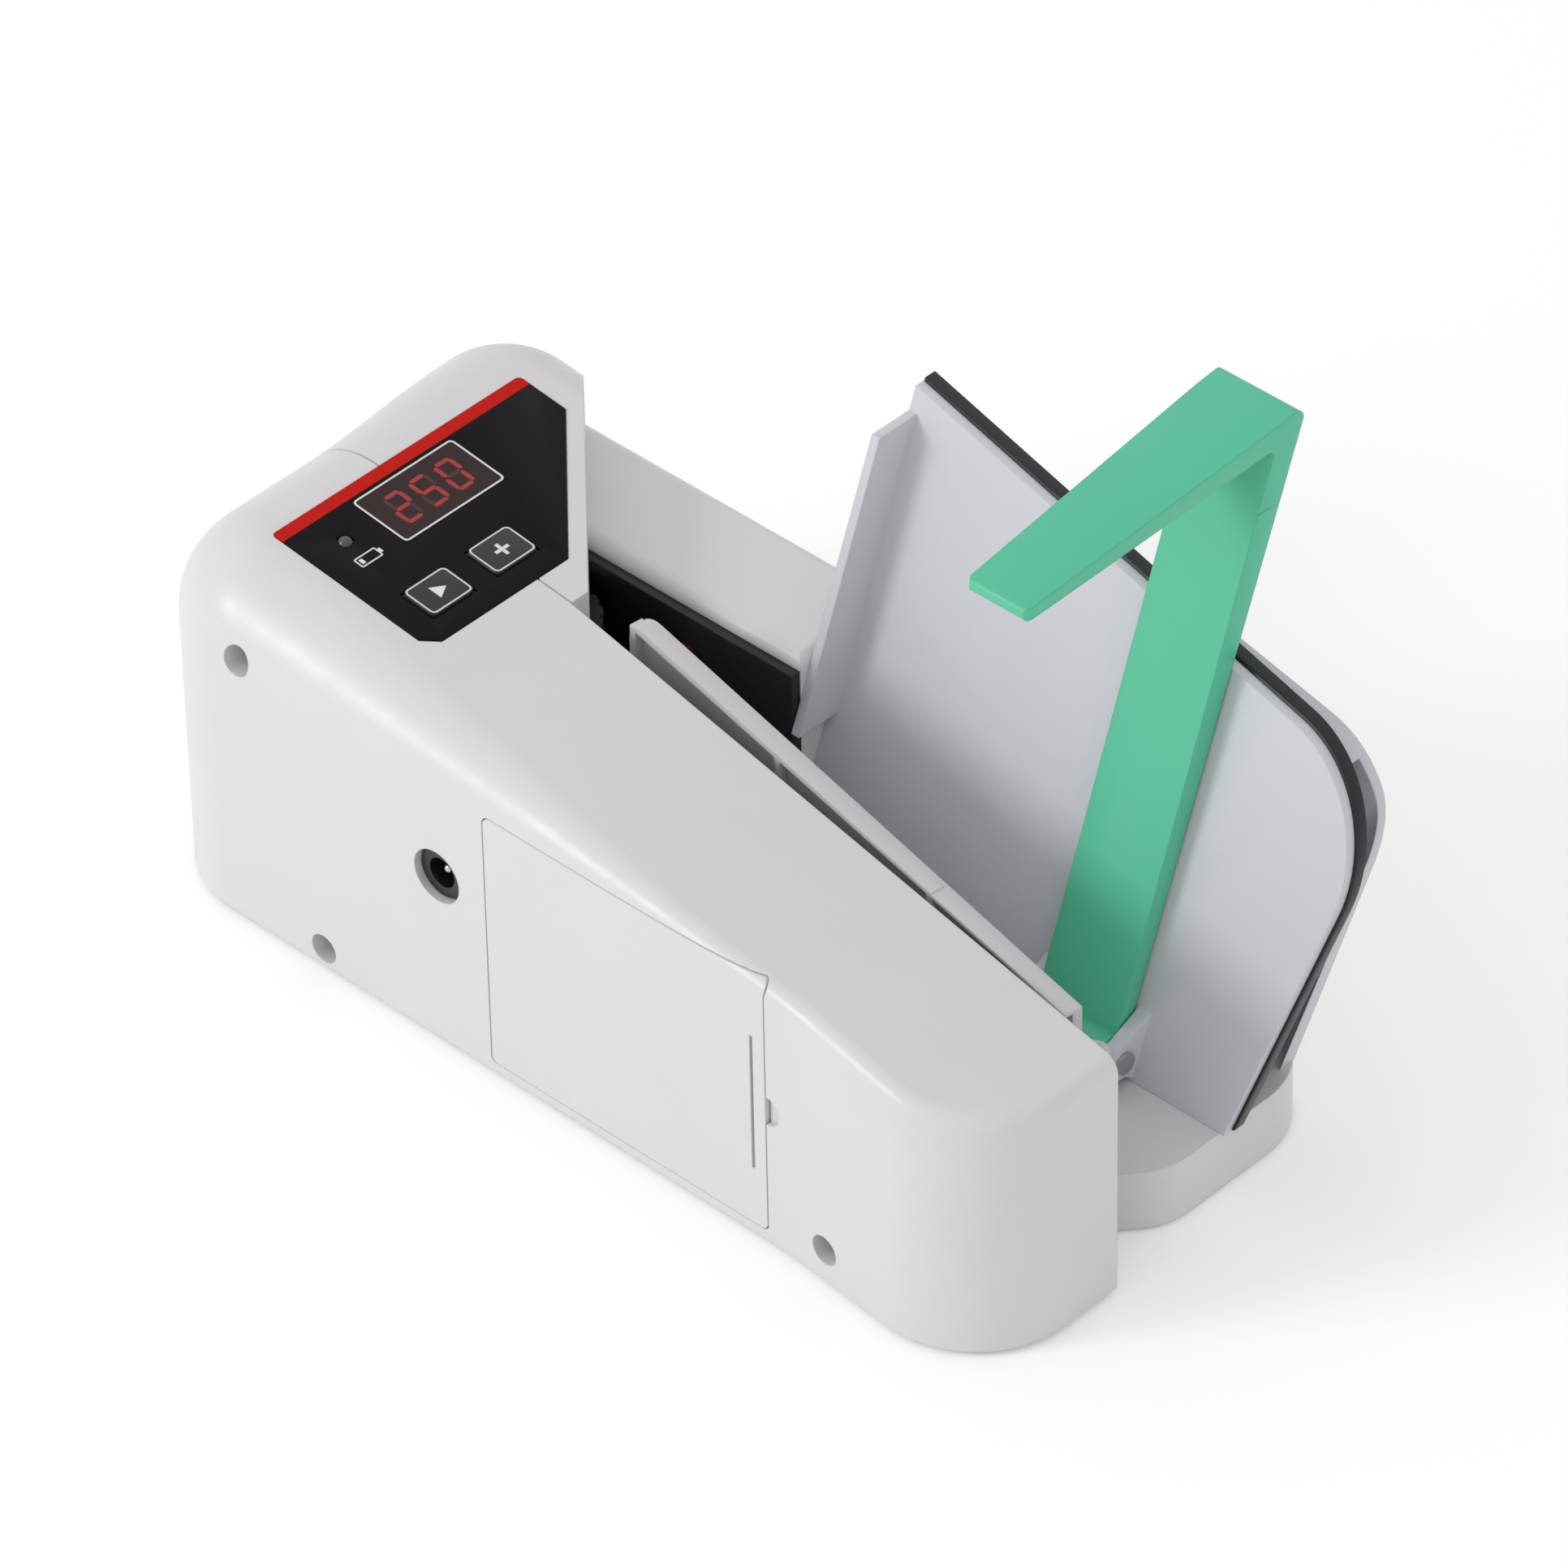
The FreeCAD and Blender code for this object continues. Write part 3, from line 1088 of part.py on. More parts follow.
def chassis_patch(along0, along1, in0, in1, z0, z1):
    """Plate drawn along and inward from the roller axis."""
    places = ((along0, in0), (along0, in1), (along1, in1), (along1, in0))
    corners = [ROLLER_AXIS + ALONG * a + INWARD * i for a, i in places]
    return prism([(c.x, c.y, 0) for c in corners], z0, z1)


def drive_chassis():
    """Dark moulding that carries the roller, gears and motor, screwed to the diagonal wall."""
    wall_in = (DIAGONAL_REACH - ROLLER_X - ROLLER_Y) / math.sqrt(2) - WALL
    low = chassis_patch(-13, 30, -wall_in, 38, CHASSIS_Z, CHASSIS_Z + CHASSIS_T)
    high = chassis_patch(-13, 13, -wall_in, 14, CHASSIS_TOP_Z, CHASSIS_TOP_Z + CHASSIS_T)
    web = chassis_patch(-13, 13, -wall_in, -wall_in + WALL, CHASSIS_Z, CHASSIS_TOP_Z + CHASSIS_T)
    legs = []
    for along, inward in ((-9, 2), (26, 2), (-4, 34), (22, 32)):
        p = ROLLER_AXIS + ALONG * along + INWARD * inward
        legs.append(rod(p.x, p.y, STAND + WALL, CHASSIS_Z + 1, 2.6))
    posts = []
    for p in motor_posts():
        posts.append(rod(p.x, p.y, CHASSIS_Z + 1, MOTOR_PLATE_Z, 2.4))
    holes = [rod(ROLLER_X, ROLLER_Y, CHASSIS_Z - 1, CHASSIS_TOP_Z + 2 * CHASSIS_T, BUSH_R),
             rod(IDLER_AXIS.x, IDLER_AXIS.y, 0, LEFT_HEIGHT, SHAFT_R / 2)]
    holes += [rod(p.x, p.y, MOTOR_PLATE_Z - 6, MOTOR_PLATE_Z + 1, SCREW_HOLE_R) for p in motor_posts()]
    wing = chassis_patch(-20, -13, 14, 36, CHASSIS_Z, CHASSIS_Z + CHASSIS_T)
    gear_room = rod(ROLLER_X, ROLLER_Y, CHASSIS_Z + CHASSIS_T, ROLLER_Z0, BUSH_R + 3)
    room = box(WALL, BODY_LENGTH, WALL, BLOCK_DEPTH - WALL, 0, LEFT_HEIGHT)
    return cut(fuse(low, high, web, wing, *legs, *posts).common(room), *holes, gear_room, roller_window())


def motor_posts():
    """Plan positions of the two posts under the motor plate."""
    return [MOTOR_AXIS + ALONG * (side * (MOTOR_R + 3.6)) for side in (-1, 1)]


def motor_plate():
    """Steel plate that the motor hangs the drive from."""
    ends = motor_posts()
    plate = fuse(*[rod(p.x, p.y, MOTOR_PLATE_Z, MOTOR_PLATE_Z + MOTOR_PLATE_T, 4.0) for p in ends],
                 rod(MOTOR_AXIS.x, MOTOR_AXIS.y, MOTOR_PLATE_Z, MOTOR_PLATE_Z + MOTOR_PLATE_T, MOTOR_R),
                 strap(ends[0], ends[1], 3.6, MOTOR_PLATE_Z, MOTOR_PLATE_Z + MOTOR_PLATE_T))
    holes = [rod(p.x, p.y, 0, LEFT_HEIGHT, SCREW_HOLE_R + FIT) for p in ends]
    return cut(plate, rod(MOTOR_AXIS.x, MOTOR_AXIS.y, 0, LEFT_HEIGHT, 3.2), *holes)


def strap(a, b, half, z0, z1):
    """Straight bar between two plan points."""
    run = b - a
    side = V(-run.y, run.x, 0)
    side.normalize()
    corners = [a + side * half, a - side * half, b - side * half, b + side * half]
    return prism([(c.x, c.y, 0) for c in corners], z0, z1)


def motor_screws():
    """Screws through the motor plate into its posts."""
    made = []
    top = MOTOR_PLATE_Z + MOTOR_PLATE_T
    for p in motor_posts():
        shank = rod(p.x, p.y, top - 6, top, SCREW_HOLE_R)
        made.append(fuse(shank, rod(p.x, p.y, top, top + 1.2, 2 * SCREW_HOLE_R)))
    return made


def feed_motor():
    """Motor can with its front boss, rear boss and two flats."""
    x, y = MOTOR_AXIS.x, MOTOR_AXIS.y
    z0 = MOTOR_PLATE_Z + MOTOR_PLATE_T
    can = rod(x, y, z0, z0 + MOTOR_H, MOTOR_R)
    can = can.makeFillet(1.0, [e for e in can.Edges if isinstance(e.Curve, Part.Circle)])
    flat_y = MOTOR_R * 0.8
    flats = can.common(box(x - MOTOR_R, x + MOTOR_R, y - flat_y, y + flat_y, z0, z0 + MOTOR_H))
    boss = rod(x, y, z0 - MOTOR_PLATE_T, z0 + 1, 3.0)
    tail = rod(x, y, z0 + MOTOR_H - 1, z0 + MOTOR_H + 1.4, 3.0)
    return cut(fuse(flats, boss, tail), rod(x, y, z0 - 9, z0 + MOTOR_H / 2, SHAFT_R / 2 + 0.05))


def motor_shaft():
    """Shaft that the pinion is pressed on."""
    x, y = MOTOR_AXIS.x, MOTOR_AXIS.y
    return rod(x, y, GEAR_Z, MOTOR_PLATE_Z + MOTOR_PLATE_T + MOTOR_H / 2, SHAFT_R / 2)


def pieces():
    """Every node with its solid or group of solids."""
    return {
        "front_shell": front_shell(), "rear_shell": rear_shell(), "base_cover": base_cover(),
        "cover_screws": cover_screws(), "rubber_feet": rubber_feet(), "slot_wall": slot_wall(),
        "bay_lining": bay_lining(), "hopper_shell": hopper_shell(), "hopper_back": hopper_back(),
        "rim_trim": rim_trim(), "control_panel": control_panel(), "red_stripe": red_stripe(),
        "display_window": display_window(), "display_module": display_module(),
        "start_key": key(START_Y), "add_key": key(ADD_Y), "key_switches": key_switches(),
        "battery_lamp": battery_lamp(), "main_board": main_board(), "board_screws": board_screws(),
        "housing_screws": housing_screws(), "battery_door": battery_door(), "battery_box": battery_box(),
        "battery_contacts": battery_contacts(), "battery_springs": battery_springs(), "dc_jack": dc_jack(),
        "jack_contact": jack_contact(), "jack_board": jack_board(), "drive_chassis": drive_chassis(),
        "feed_motor": feed_motor(), "motor_shaft": motor_shaft(), "motor_plate": motor_plate(),
        "motor_screws": motor_screws(), "motor_pinion": motor_pinion(), "idler_gear": idler_gear(),
        "idler_axle": idler_axle(), "roller_gear": roller_gear(), "roller_shaft": roller_shaft(),
        "roller_hub": roller_hub(), "feed_tyres": feed_tyres(), "shaft_bushes": shaft_bushes(),
        "receiving_flap": receiving_flap(), "flap_pin": flap_pin(), "press_lever": press_lever(),
        "lever_pin": lever_pin(), "sensor_emitter": sensor_emitter(), "sensor_receiver": sensor_receiver(),
    }


def footprint_shift(shapes):
    """Move that puts the middle of the footprint at the origin."""
    boxes = [s.optimalBoundingBox(False, False) for s in shapes]
    low = V(min(b.XMin for b in boxes), min(b.YMin for b in boxes), 0)
    high = V(max(b.XMax for b in boxes), max(b.YMax for b in boxes), 0)
    return (low + high) * -0.5


def as_node(made):
    """One solid, or a group of separate solids in one node."""
    solids = [solid for shape in (made if isinstance(made, list) else [made]) for solid in shape.Solids]
    return solids[0] if len(solids) == 1 else Part.makeCompound(solids)


def main():
    os.makedirs("parts", exist_ok=True)
    made = {name: as_node(shape) for name, shape in pieces().items()}
    shift = footprint_shift(list(made.values()))
    for name, shape in made.items():
        shape.translate(shift)
        shape.exportStep("parts/%s.step" % name)
    print("moved by %.4f, %.4f mm" % (shift.x, shift.y))
    return made, shift


if __name__ == "__main__":
    main()
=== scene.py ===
"""Dresses the portable banknote counter: moulded shells, printed panel, lit digits and a studio stage."""

import json
import math

import bpy
from mathutils import Matrix, Vector


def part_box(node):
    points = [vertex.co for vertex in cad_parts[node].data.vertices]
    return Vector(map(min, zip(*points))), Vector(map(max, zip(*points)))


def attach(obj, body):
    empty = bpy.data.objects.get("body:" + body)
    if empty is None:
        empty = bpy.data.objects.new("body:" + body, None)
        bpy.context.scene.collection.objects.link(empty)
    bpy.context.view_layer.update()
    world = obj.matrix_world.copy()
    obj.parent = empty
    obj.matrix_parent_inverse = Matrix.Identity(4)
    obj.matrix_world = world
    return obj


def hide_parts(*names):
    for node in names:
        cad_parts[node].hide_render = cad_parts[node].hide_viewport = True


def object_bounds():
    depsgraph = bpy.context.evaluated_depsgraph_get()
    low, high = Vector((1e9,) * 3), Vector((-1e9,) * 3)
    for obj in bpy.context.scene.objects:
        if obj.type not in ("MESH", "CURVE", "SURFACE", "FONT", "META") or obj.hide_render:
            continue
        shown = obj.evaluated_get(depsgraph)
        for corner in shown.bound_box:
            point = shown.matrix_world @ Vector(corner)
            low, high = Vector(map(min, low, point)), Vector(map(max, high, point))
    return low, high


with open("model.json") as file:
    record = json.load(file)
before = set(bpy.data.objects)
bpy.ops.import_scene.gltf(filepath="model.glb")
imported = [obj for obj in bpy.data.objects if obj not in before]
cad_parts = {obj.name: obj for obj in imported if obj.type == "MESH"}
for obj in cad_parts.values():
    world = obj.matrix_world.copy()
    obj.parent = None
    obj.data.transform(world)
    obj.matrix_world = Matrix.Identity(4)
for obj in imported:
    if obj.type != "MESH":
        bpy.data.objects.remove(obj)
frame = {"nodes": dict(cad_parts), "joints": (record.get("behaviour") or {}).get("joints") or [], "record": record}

bl_info = {
    "name": "Banknote counter",
    "version": (1, 0, 0),
    "blender": (4, 5, 0),
    "location": "View3D > Sidebar > Counter",
    "description": "Finishes and fittings of a portable banknote counter",
    "category": "Object",
}

MM = 0.001
CAD_BOX = [Vector(corner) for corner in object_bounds()]
NODES = frame["nodes"]
JOINTS = {joint["name"]: joint for joint in frame["joints"]}
BODIES = frame["record"]["behaviour"]["bodies"]
BODY_OF = {node: body for body, nodes in BODIES.items() for node in nodes}
PANEL_UP = -Vector(JOINTS["start_press"]["axis"]).normalized()


def colour_prop(label, words, rgb):
    """Colour setting, written as its linear value."""
    return bpy.props.FloatVectorProperty(name=label, description=words, subtype="COLOR", size=3,
                                         min=0, max=1, default=rgb)


def length_prop(label, words, metres):
    """Length setting in metres."""
    return bpy.props.FloatProperty(name=label, description=words, subtype="DISTANCE", unit="LENGTH",
                                   min=0, default=metres, precision=5)


class CounterColours(bpy.types.PropertyGroup):
    """Colours of the counter's finishes."""
    shell: colour_prop("Shell", "Off-white moulded shells", (0.700, 0.685, 0.692))
    inside: colour_prop("Inner white", "Flap and slot wall", (0.60, 0.575, 0.605))
    hopper: colour_prop("Hopper", "Light grey hopper", (0.62, 0.62, 0.665))
    trim: colour_prop("Trim", "Dark edge strip and bay", (0.012, 0.012, 0.016))
    panel: colour_prop("Panel", "Glossy control panel", (0.009, 0.007, 0.009))
    key: colour_prop("Keys", "Key caps in the panel", (0.028, 0.026, 0.029))
    stripe: colour_prop("Stripe", "Red band on the panel", (0.56, 0.010, 0.005))
    ink: colour_prop("Ink", "White print on the panel", (0.80, 0.80, 0.80))
    lens: colour_prop("Lens", "Tinted display window", (0.024, 0.010, 0.008))
    digit: colour_prop("Digit", "Lit display segments", (0.30, 0.014, 0.018))
    lever: colour_prop("Lever", "Green press lever", (0.095, 0.545, 0.330))
    floor: colour_prop("Floor", "Studio floor", (0.93, 0.93, 0.93))


class CounterPrint(bpy.types.PropertyGroup):
    """Sizes of what is printed or lit on the panel."""
    line: length_prop("Line width", "Width of the white outlines", 0.45 * MM)
    lift: length_prop("Print height", "Height of the print above its surface", 0.04 * MM)
    corner: length_prop("Corner radius", "Corner radius of the outlines", 1.1 * MM)
    symbol: length_prop("Symbol size", "Height of the key symbols", 3.4 * MM)
    digit_height: length_prop("Digit height", "Height of a display digit", 8.4 * MM)
    digit_pitch: length_prop("Digit pitch", "Distance between display digits", 6.6 * MM)
    segment: length_prop("Segment width", "Width of a display segment", 0.95 * MM)
    reading: bpy.props.StringProperty(name="Reading", description="Number on the display", default="250")


class CounterView(bpy.types.PropertyGroup):
    """Camera and lamps of the studio."""
    azimuth: bpy.props.FloatProperty(name="Azimuth", description="Turn of the camera round the counter",
                                     subtype="ANGLE", default=math.radians(44.17))
    elevation: bpy.props.FloatProperty(name="Elevation", description="Height of the camera's view",
                                       subtype="ANGLE", default=math.radians(39.36))
    roll: bpy.props.FloatProperty(name="Roll", description="Tilt of the camera about its own axis",
                                  subtype="ANGLE", default=math.radians(-1.20))
    distance: length_prop("Distance", "From the camera to the counter's front foot", 2.025)
    sensor: length_prop("Sensor", "Width of the camera's sensor", 36 * MM)
    focal: bpy.props.FloatProperty(name="Focal length", description="Focal length in image widths",
                                   default=6.918)
    fill: bpy.props.FloatProperty(name="Fill", description="Light from all round", default=0.79)
    key: bpy.props.FloatProperty(name="Key", description="Power of the key lamp in watts", default=12.0)
    floor_glow: bpy.props.FloatProperty(name="Floor glow", description="Light that the seen floor adds",
                                        default=0.18)


# The camera aims by a point at the foot of the front face, near the display end. Its place in the picture
# is given as shares of the picture's width from the middle.
ANCHOR_FROM_END = 26 * MM
ANCHOR_IN_PICTURE = (-0.3447, -0.0875)

# The key lamp, the floor and how far the camera sees, in metres.
KEY_PLACE = (-0.9, -1.6, 0.9)
KEY_SIZE = 0.6
FLOOR_SIZE = 8
CAMERA_REACH = 20

# Points closer than this are one point, and points this close below the highest lie on its face.
MERGE_GAP = 0.002 * MM
FACE_DEPTH = 0.02 * MM

# Faces flatter than FLAT_ANGLE are merged, edges over SHARP_ANGLE are rounded, and shading runs smoothly
# over edges under SMOOTH_ANGLE.
FLAT_ANGLE = math.radians(0.4)
SMOOTH_ANGLE = math.radians(28)
SHARP_ANGLE = math.radians(40)
EDGE_STEPS = 3

# Rounding of sharp edges, and how far the door's top and bottom edges reach into their gap.
LEVER_EDGE = 0.9 * MM
HOPPER_EDGE = 0.4 * MM
FITTING_EDGE = 0.3 * MM
PANEL_EDGE = 0.15 * MM
DOOR_CREEP = 0.17 * MM
SHADED_EDGE = 0.35 * MM
SHADED_EDGE_SAMPLES = 6

# Patterns of the finishes, in features per metre, and the depth of their relief.
MOULD_CLOUDS = 55
MOULD_SHEEN = 140
MOULD_GRAIN = 2600
MOULD_RELIEF = 0.06 * MM
FILM_CLOUDS = 90
FILM_MARKS = 420
METAL_CLOUDS = 300
METAL_GRAIN = 1800
RUBBER_CLOUDS = 240
RUBBER_SHEEN = 500
RUBBER_GRAIN = 3200
RUBBER_RELIEF = 0.08 * MM
DIGIT_CLOUDS = 700
PAPER_CLOUDS = 3
BOARD_TRACES = 260

# Colours of the mechanism and of the small lenses.
STEEL = (0.52, 0.52, 0.54)
ZINC = (0.42, 0.42, 0.43)
MOTOR_CAN = (0.47, 0.47, 0.46)
NICKEL = (0.62, 0.59, 0.52)
GEAR_CREAM = (0.70, 0.68, 0.60)
COMPONENT_BLACK = (0.02, 0.02, 0.022)
RUBBER_BLACK = (0.022, 0.022, 0.024)
LAMP_GREY = (0.085, 0.080, 0.085)
SENSOR_RED = (0.05, 0.01, 0.012)
BOARD_DARK = (0.010, 0.085, 0.030, 1)
BOARD_GREEN = (0.014, 0.11, 0.040, 1)
BOARD_TRACE = (0.03, 0.17, 0.07, 1)
WHITE = (1, 1, 1, 1)

# Shares of the outlines' line width: fine lines, and the corners of small bars.
FINE_LINE = 0.8
BAR_CORNER = 0.2
BAR_CORNER_STEPS = 3

# The battery symbol stands off the lamp. Its parts are shares of the key symbols' size and of its own.
BATTERY_FROM_LAMP = 6 * MM
BATTERY_HEIGHT = 0.8
BATTERY_WIDTH = 1.6
BATTERY_CAP_HEIGHT = 0.45
BATTERY_CAP_LINES = 1.4
BATTERY_LEVEL_HEIGHT = 0.5
BATTERY_LEVEL_WIDTH = 0.16
BATTERY_LEVEL_PLACE = 0.29

# The arrow's radius and the plus sign's bar width are shares of the key symbols' size.
ARROW_RADIUS = 0.6
ARROW_CORNER = 0.5
PLUS_BAR = 0.24

# The second bar of the plus sign lies higher than the first by this share of the print's height.
PLUS_STEP = 0.1


# Finishes

def new_finish(name):
    """Empty material with its shader and an Object coordinate source."""
    material = bpy.data.materials.new(name)
    material.use_nodes = True
    tree = material.node_tree
    shader = tree.nodes["Principled BSDF"]
    place = tree.nodes.new("ShaderNodeTexCoord").outputs["Object"]
    return material, tree, shader, place


def noise(tree, place, scale, detail=2.0):
    """Noise that is the same from every side, with scale in features per metre."""
    node = tree.nodes.new("ShaderNodeTexNoise")
    node.inputs["Scale"].default_value = scale
    node.inputs["Detail"].default_value = detail
    tree.links.new(place, node.inputs["Vector"])
    return node.outputs["Fac"]


def spread(tree, source, low, high):
    """Maps a noise value to a range."""
    node = tree.nodes.new("ShaderNodeMapRange")
    node.inputs["From Min"].default_value = 0.3
    node.inputs["From Max"].default_value = 0.7
    node.inputs["To Min"].default_value = low
    node.inputs["To Max"].default_value = high
    tree.links.new(source, node.inputs["Value"])
    return node.outputs["Result"]


def tint(tree, shader, source, colour, change):
    """Base colour that wanders a little round the given one."""
    mix = tree.nodes.new("ShaderNodeMix")
    mix.data_type = "RGBA"
    mix.inputs["A"].default_value = (*[c * (1 - change) for c in colour], 1)
    mix.inputs["B"].default_value = (*[min(1, c * (1 + change)) for c in colour], 1)
    tree.links.new(source, mix.inputs["Factor"])
    tree.links.new(mix.outputs["Result"], shader.inputs["Base Color"])


def roughen(tree, shader, source, depth, strength, edge=0.0):
    """Fine relief from a noise value, depth in metres, over edges that catch light as if rounded."""
    bump = tree.nodes.new("ShaderNodeBump")
    bump.inputs["Distance"].default_value = depth
    bump.inputs["Strength"].default_value = strength
    tree.links.new(source, bump.inputs["Height"])
    if edge:
        round_edge = tree.nodes.new("ShaderNodeBevel")
        round_edge.samples = SHADED_EDGE_SAMPLES
        round_edge.inputs["Radius"].default_value = edge
        tree.links.new(round_edge.outputs["Normal"], bump.inputs["Normal"])
    tree.links.new(bump.outputs["Normal"], shader.inputs["Normal"])


def moulded(name, colour, roughness, grain=0.12, change=0.02):
    """Moulded plastic with a spark-eroded grain."""
    material, tree, shader, place = new_finish(name)
    tint(tree, shader, noise(tree, place, MOULD_CLOUDS), colour, change)
    sheen = noise(tree, place, MOULD_SHEEN)
    tree.links.new(spread(tree, sheen, roughness - 0.05, roughness + 0.06), shader.inputs["Roughness"])
    roughen(tree, shader, noise(tree, place, MOULD_GRAIN, 3.0), MOULD_RELIEF, grain, SHADED_EDGE)
    shader.inputs["Specular IOR Level"].default_value = 0.42
    return material


def glossy(name, colour, roughness, coat=0.1, shine=0.5):
    """Polished plastic or film with faint handling marks."""
    material, tree, shader, place = new_finish(name)
    tint(tree, shader, noise(tree, place, FILM_CLOUDS), colour, 0.06)
    marks = noise(tree, place, FILM_MARKS, 4.0)
    tree.links.new(spread(tree, marks, roughness, roughness + 0.09), shader.inputs["Roughness"])
    shader.inputs["Specular IOR Level"].default_value = shine
    shader.inputs["Coat Weight"].default_value = coat
    shader.inputs["Coat Roughness"].default_value = 0.12
    return material


def metal(name, colour, roughness):
    """Turned or drawn metal with a fine grain."""
    material, tree, shader, place = new_finish(name)
    tint(tree, shader, noise(tree, place, METAL_CLOUDS), colour, 0.08)
    grain = noise(tree, place, METAL_GRAIN, 4.0)
    tree.links.new(spread(tree, grain, roughness - 0.06, roughness + 0.1), shader.inputs["Roughness"])
    shader.inputs["Metallic"].default_value = 1.0
    return material


def rubber(name, colour):
    """Matt rubber with a dusty sheen."""
    material, tree, shader, place = new_finish(name)
    tint(tree, shader, noise(tree, place, RUBBER_CLOUDS), colour, 0.25)
    sheen = noise(tree, place, RUBBER_SHEEN)
    tree.links.new(spread(tree, sheen, 0.72, 0.9), shader.inputs["Roughness"])
    roughen(tree, shader, noise(tree, place, RUBBER_GRAIN, 4.0), RUBBER_RELIEF, 0.35)
    return material


def glowing(name, colour, strength):
    """Lit display segment behind its tinted window."""
    material, tree, shader, place = new_finish(name)
    tint(tree, shader, noise(tree, place, DIGIT_CLOUDS), colour, 0.15)
    shader.inputs["Roughness"].default_value = 0.3
    shader.inputs["Emission Color"].default_value = (*colour, 1)
    shader.inputs["Emission Strength"].default_value = strength
    return material


def floor_paper(colour, glow):
    """Pale paper that is lifted to white where it is seen."""
    material, tree, shader, place = new_finish("floor_paper")
    tint(tree, shader, noise(tree, place, PAPER_CLOUDS), colour, 0.004)
    shader.inputs["Roughness"].default_value = 0.9
    shader.inputs["Emission Color"].default_value = WHITE
    path = tree.nodes.new("ShaderNodeLightPath")
    seen = tree.nodes.new("ShaderNodeMath")
    seen.operation = "MAXIMUM"
    tree.links.new(path.outputs["Is Camera Ray"], seen.inputs[0])
    tree.links.new(path.outputs["Is Glossy Ray"], seen.inputs[1])
    lift = tree.nodes.new("ShaderNodeMath")
    lift.operation = "MULTIPLY"
    lift.inputs[1].default_value = glow
    tree.links.new(seen.outputs[0], lift.inputs[0])
    tree.links.new(lift.outputs[0], shader.inputs["Emission Strength"])
    return material


def circuit_board(name):
    """Green solder mask with paler traces."""
    material, tree, shader, place = new_finish(name)
    bricks = tree.nodes.new("ShaderNodeTexBrick")
    bricks.inputs["Scale"].default_value = BOARD_TRACES
    bricks.inputs["Color1"].default_value = BOARD_DARK
    bricks.inputs["Color2"].default_value = BOARD_GREEN
    bricks.inputs["Mortar"].default_value = BOARD_TRACE
    tree.links.new(place, bricks.inputs["Vector"])
    tree.links.new(bricks.outputs["Color"], shader.inputs["Base Color"])
    shader.inputs["Roughness"].default_value = 0.38
    return material


# Modelling helpers

def deselect():
    """Leave object mode with nothing selected."""
    if bpy.context.object and bpy.context.object.mode != "OBJECT":
        bpy.ops.object.mode_set(mode="OBJECT")
    bpy.ops.object.select_all(action="DESELECT")


def choose(piece):
    """Make one piece the selected and active one."""
    deselect()
    piece.select_set(True)
    bpy.context.view_layer.objects.active = piece


def settle(piece, name, body, material):
    """Bake a new piece's place into its mesh, and give it its name, finish and body."""
    choose(piece)
    bpy.ops.object.transform_apply(location=True, rotation=True, scale=True)
    piece.name = name
    piece.data.materials.clear()
    piece.data.materials.append(material)
    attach(piece, body)
    return piece


def join(pieces):
    """Join several pieces into the first."""
    deselect()
    for piece in pieces:
        piece.select_set(True)
    bpy.context.view_layer.objects.active = pieces[0]
    bpy.ops.object.join()
    return pieces[0]


def smooth_moulding(node, material, edge=0.0, creep=0.0):
    """Copy of a moulding with merged points, smooth rounds and rounded edges, in place of its solid.

    Its top and bottom edges creep outwards where that is asked."""
    source = NODES[node]
    choose(source)
    bpy.ops.object.duplicate()
    piece = bpy.context.object
    piece.parent = None
    for key in list(piece.keys()):
        del piece[key]
    bpy.ops.object.mode_set(mode="EDIT")
    bpy.ops.mesh.select_all(action="SELECT")
    bpy.ops.mesh.remove_doubles(threshold=MERGE_GAP)
    if creep:
        low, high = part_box(node)
        growth = 1 + 2 * creep / (high.z - low.z)
        bpy.ops.transform.resize(value=(1, 1, growth), center_override=(low + high) / 2)
    if edge:
        bpy.ops.mesh.dissolve_limited(angle_limit=FLAT_ANGLE)
    bpy.ops.object.mode_set(mode="OBJECT")
    if piece.data.has_custom_normals:
        bpy.ops.mesh.customdata_custom_splitnormals_clear()
    if edge:
        break_edges(piece, edge)
    bpy.ops.object.shade_smooth_by_angle(angle=SMOOTH_ANGLE)
    piece.name = node + "_moulding"
    piece.data.materials.clear()
    piece.data.materials.append(material)
    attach(piece, BODY_OF[node])
    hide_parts(node)
    return piece


def break_edges(piece, width):
    """Round the sharp edges of a moulding."""
    choose(piece)
    bevel = piece.modifiers.new("edge", "BEVEL")
    bevel.limit_method = "ANGLE"
    bevel.angle_limit = SHARP_ANGLE
    bevel.width = width
    bevel.segments = EDGE_STEPS
    bevel.use_clamp_overlap = True
    bpy.ops.object.modifier_apply(modifier=bevel.name)


def refinish(material, *nodes):
    """Give several solids one finish."""
    for node in nodes:
        data = NODES[node].data
        data.materials.clear()
        data.materials.append(material)


def panel_face(node):
    """Frame on the top face of a node in the sloping panel, with the face's width and length."""
    points = [vertex.co for vertex in NODES[node].data.vertices]
    along = Vector((0, 1, 0)).cross(PANEL_UP)
    across = Vector((0, 1, 0))
    height = max(PANEL_UP.dot(p) for p in points)
    face = [p for p in points if height - PANEL_UP.dot(p) < FACE_DEPTH]
    u = [along.dot(p) for p in face]
    v = [across.dot(p) for p in face]
    middle = along * (min(u) + max(u)) / 2 + across * (min(v) + max(v)) / 2 + PANEL_UP * height
    turned = Matrix((along, across, PANEL_UP)).transposed().to_4x4()
    return Matrix.Translation(middle) @ turned, max(u) - min(u), max(v) - min(v)


def panel_place(node, matrix):
    """Middle of a node along and across a panel face."""
    points = [matrix.inverted() @ vertex.co for vertex in NODES[node].data.vertices]
    u = [p.x for p in points]
    v = [p.y for p in points]
    return (min(u) + max(u)) / 2, (min(v) + max(v)) / 2


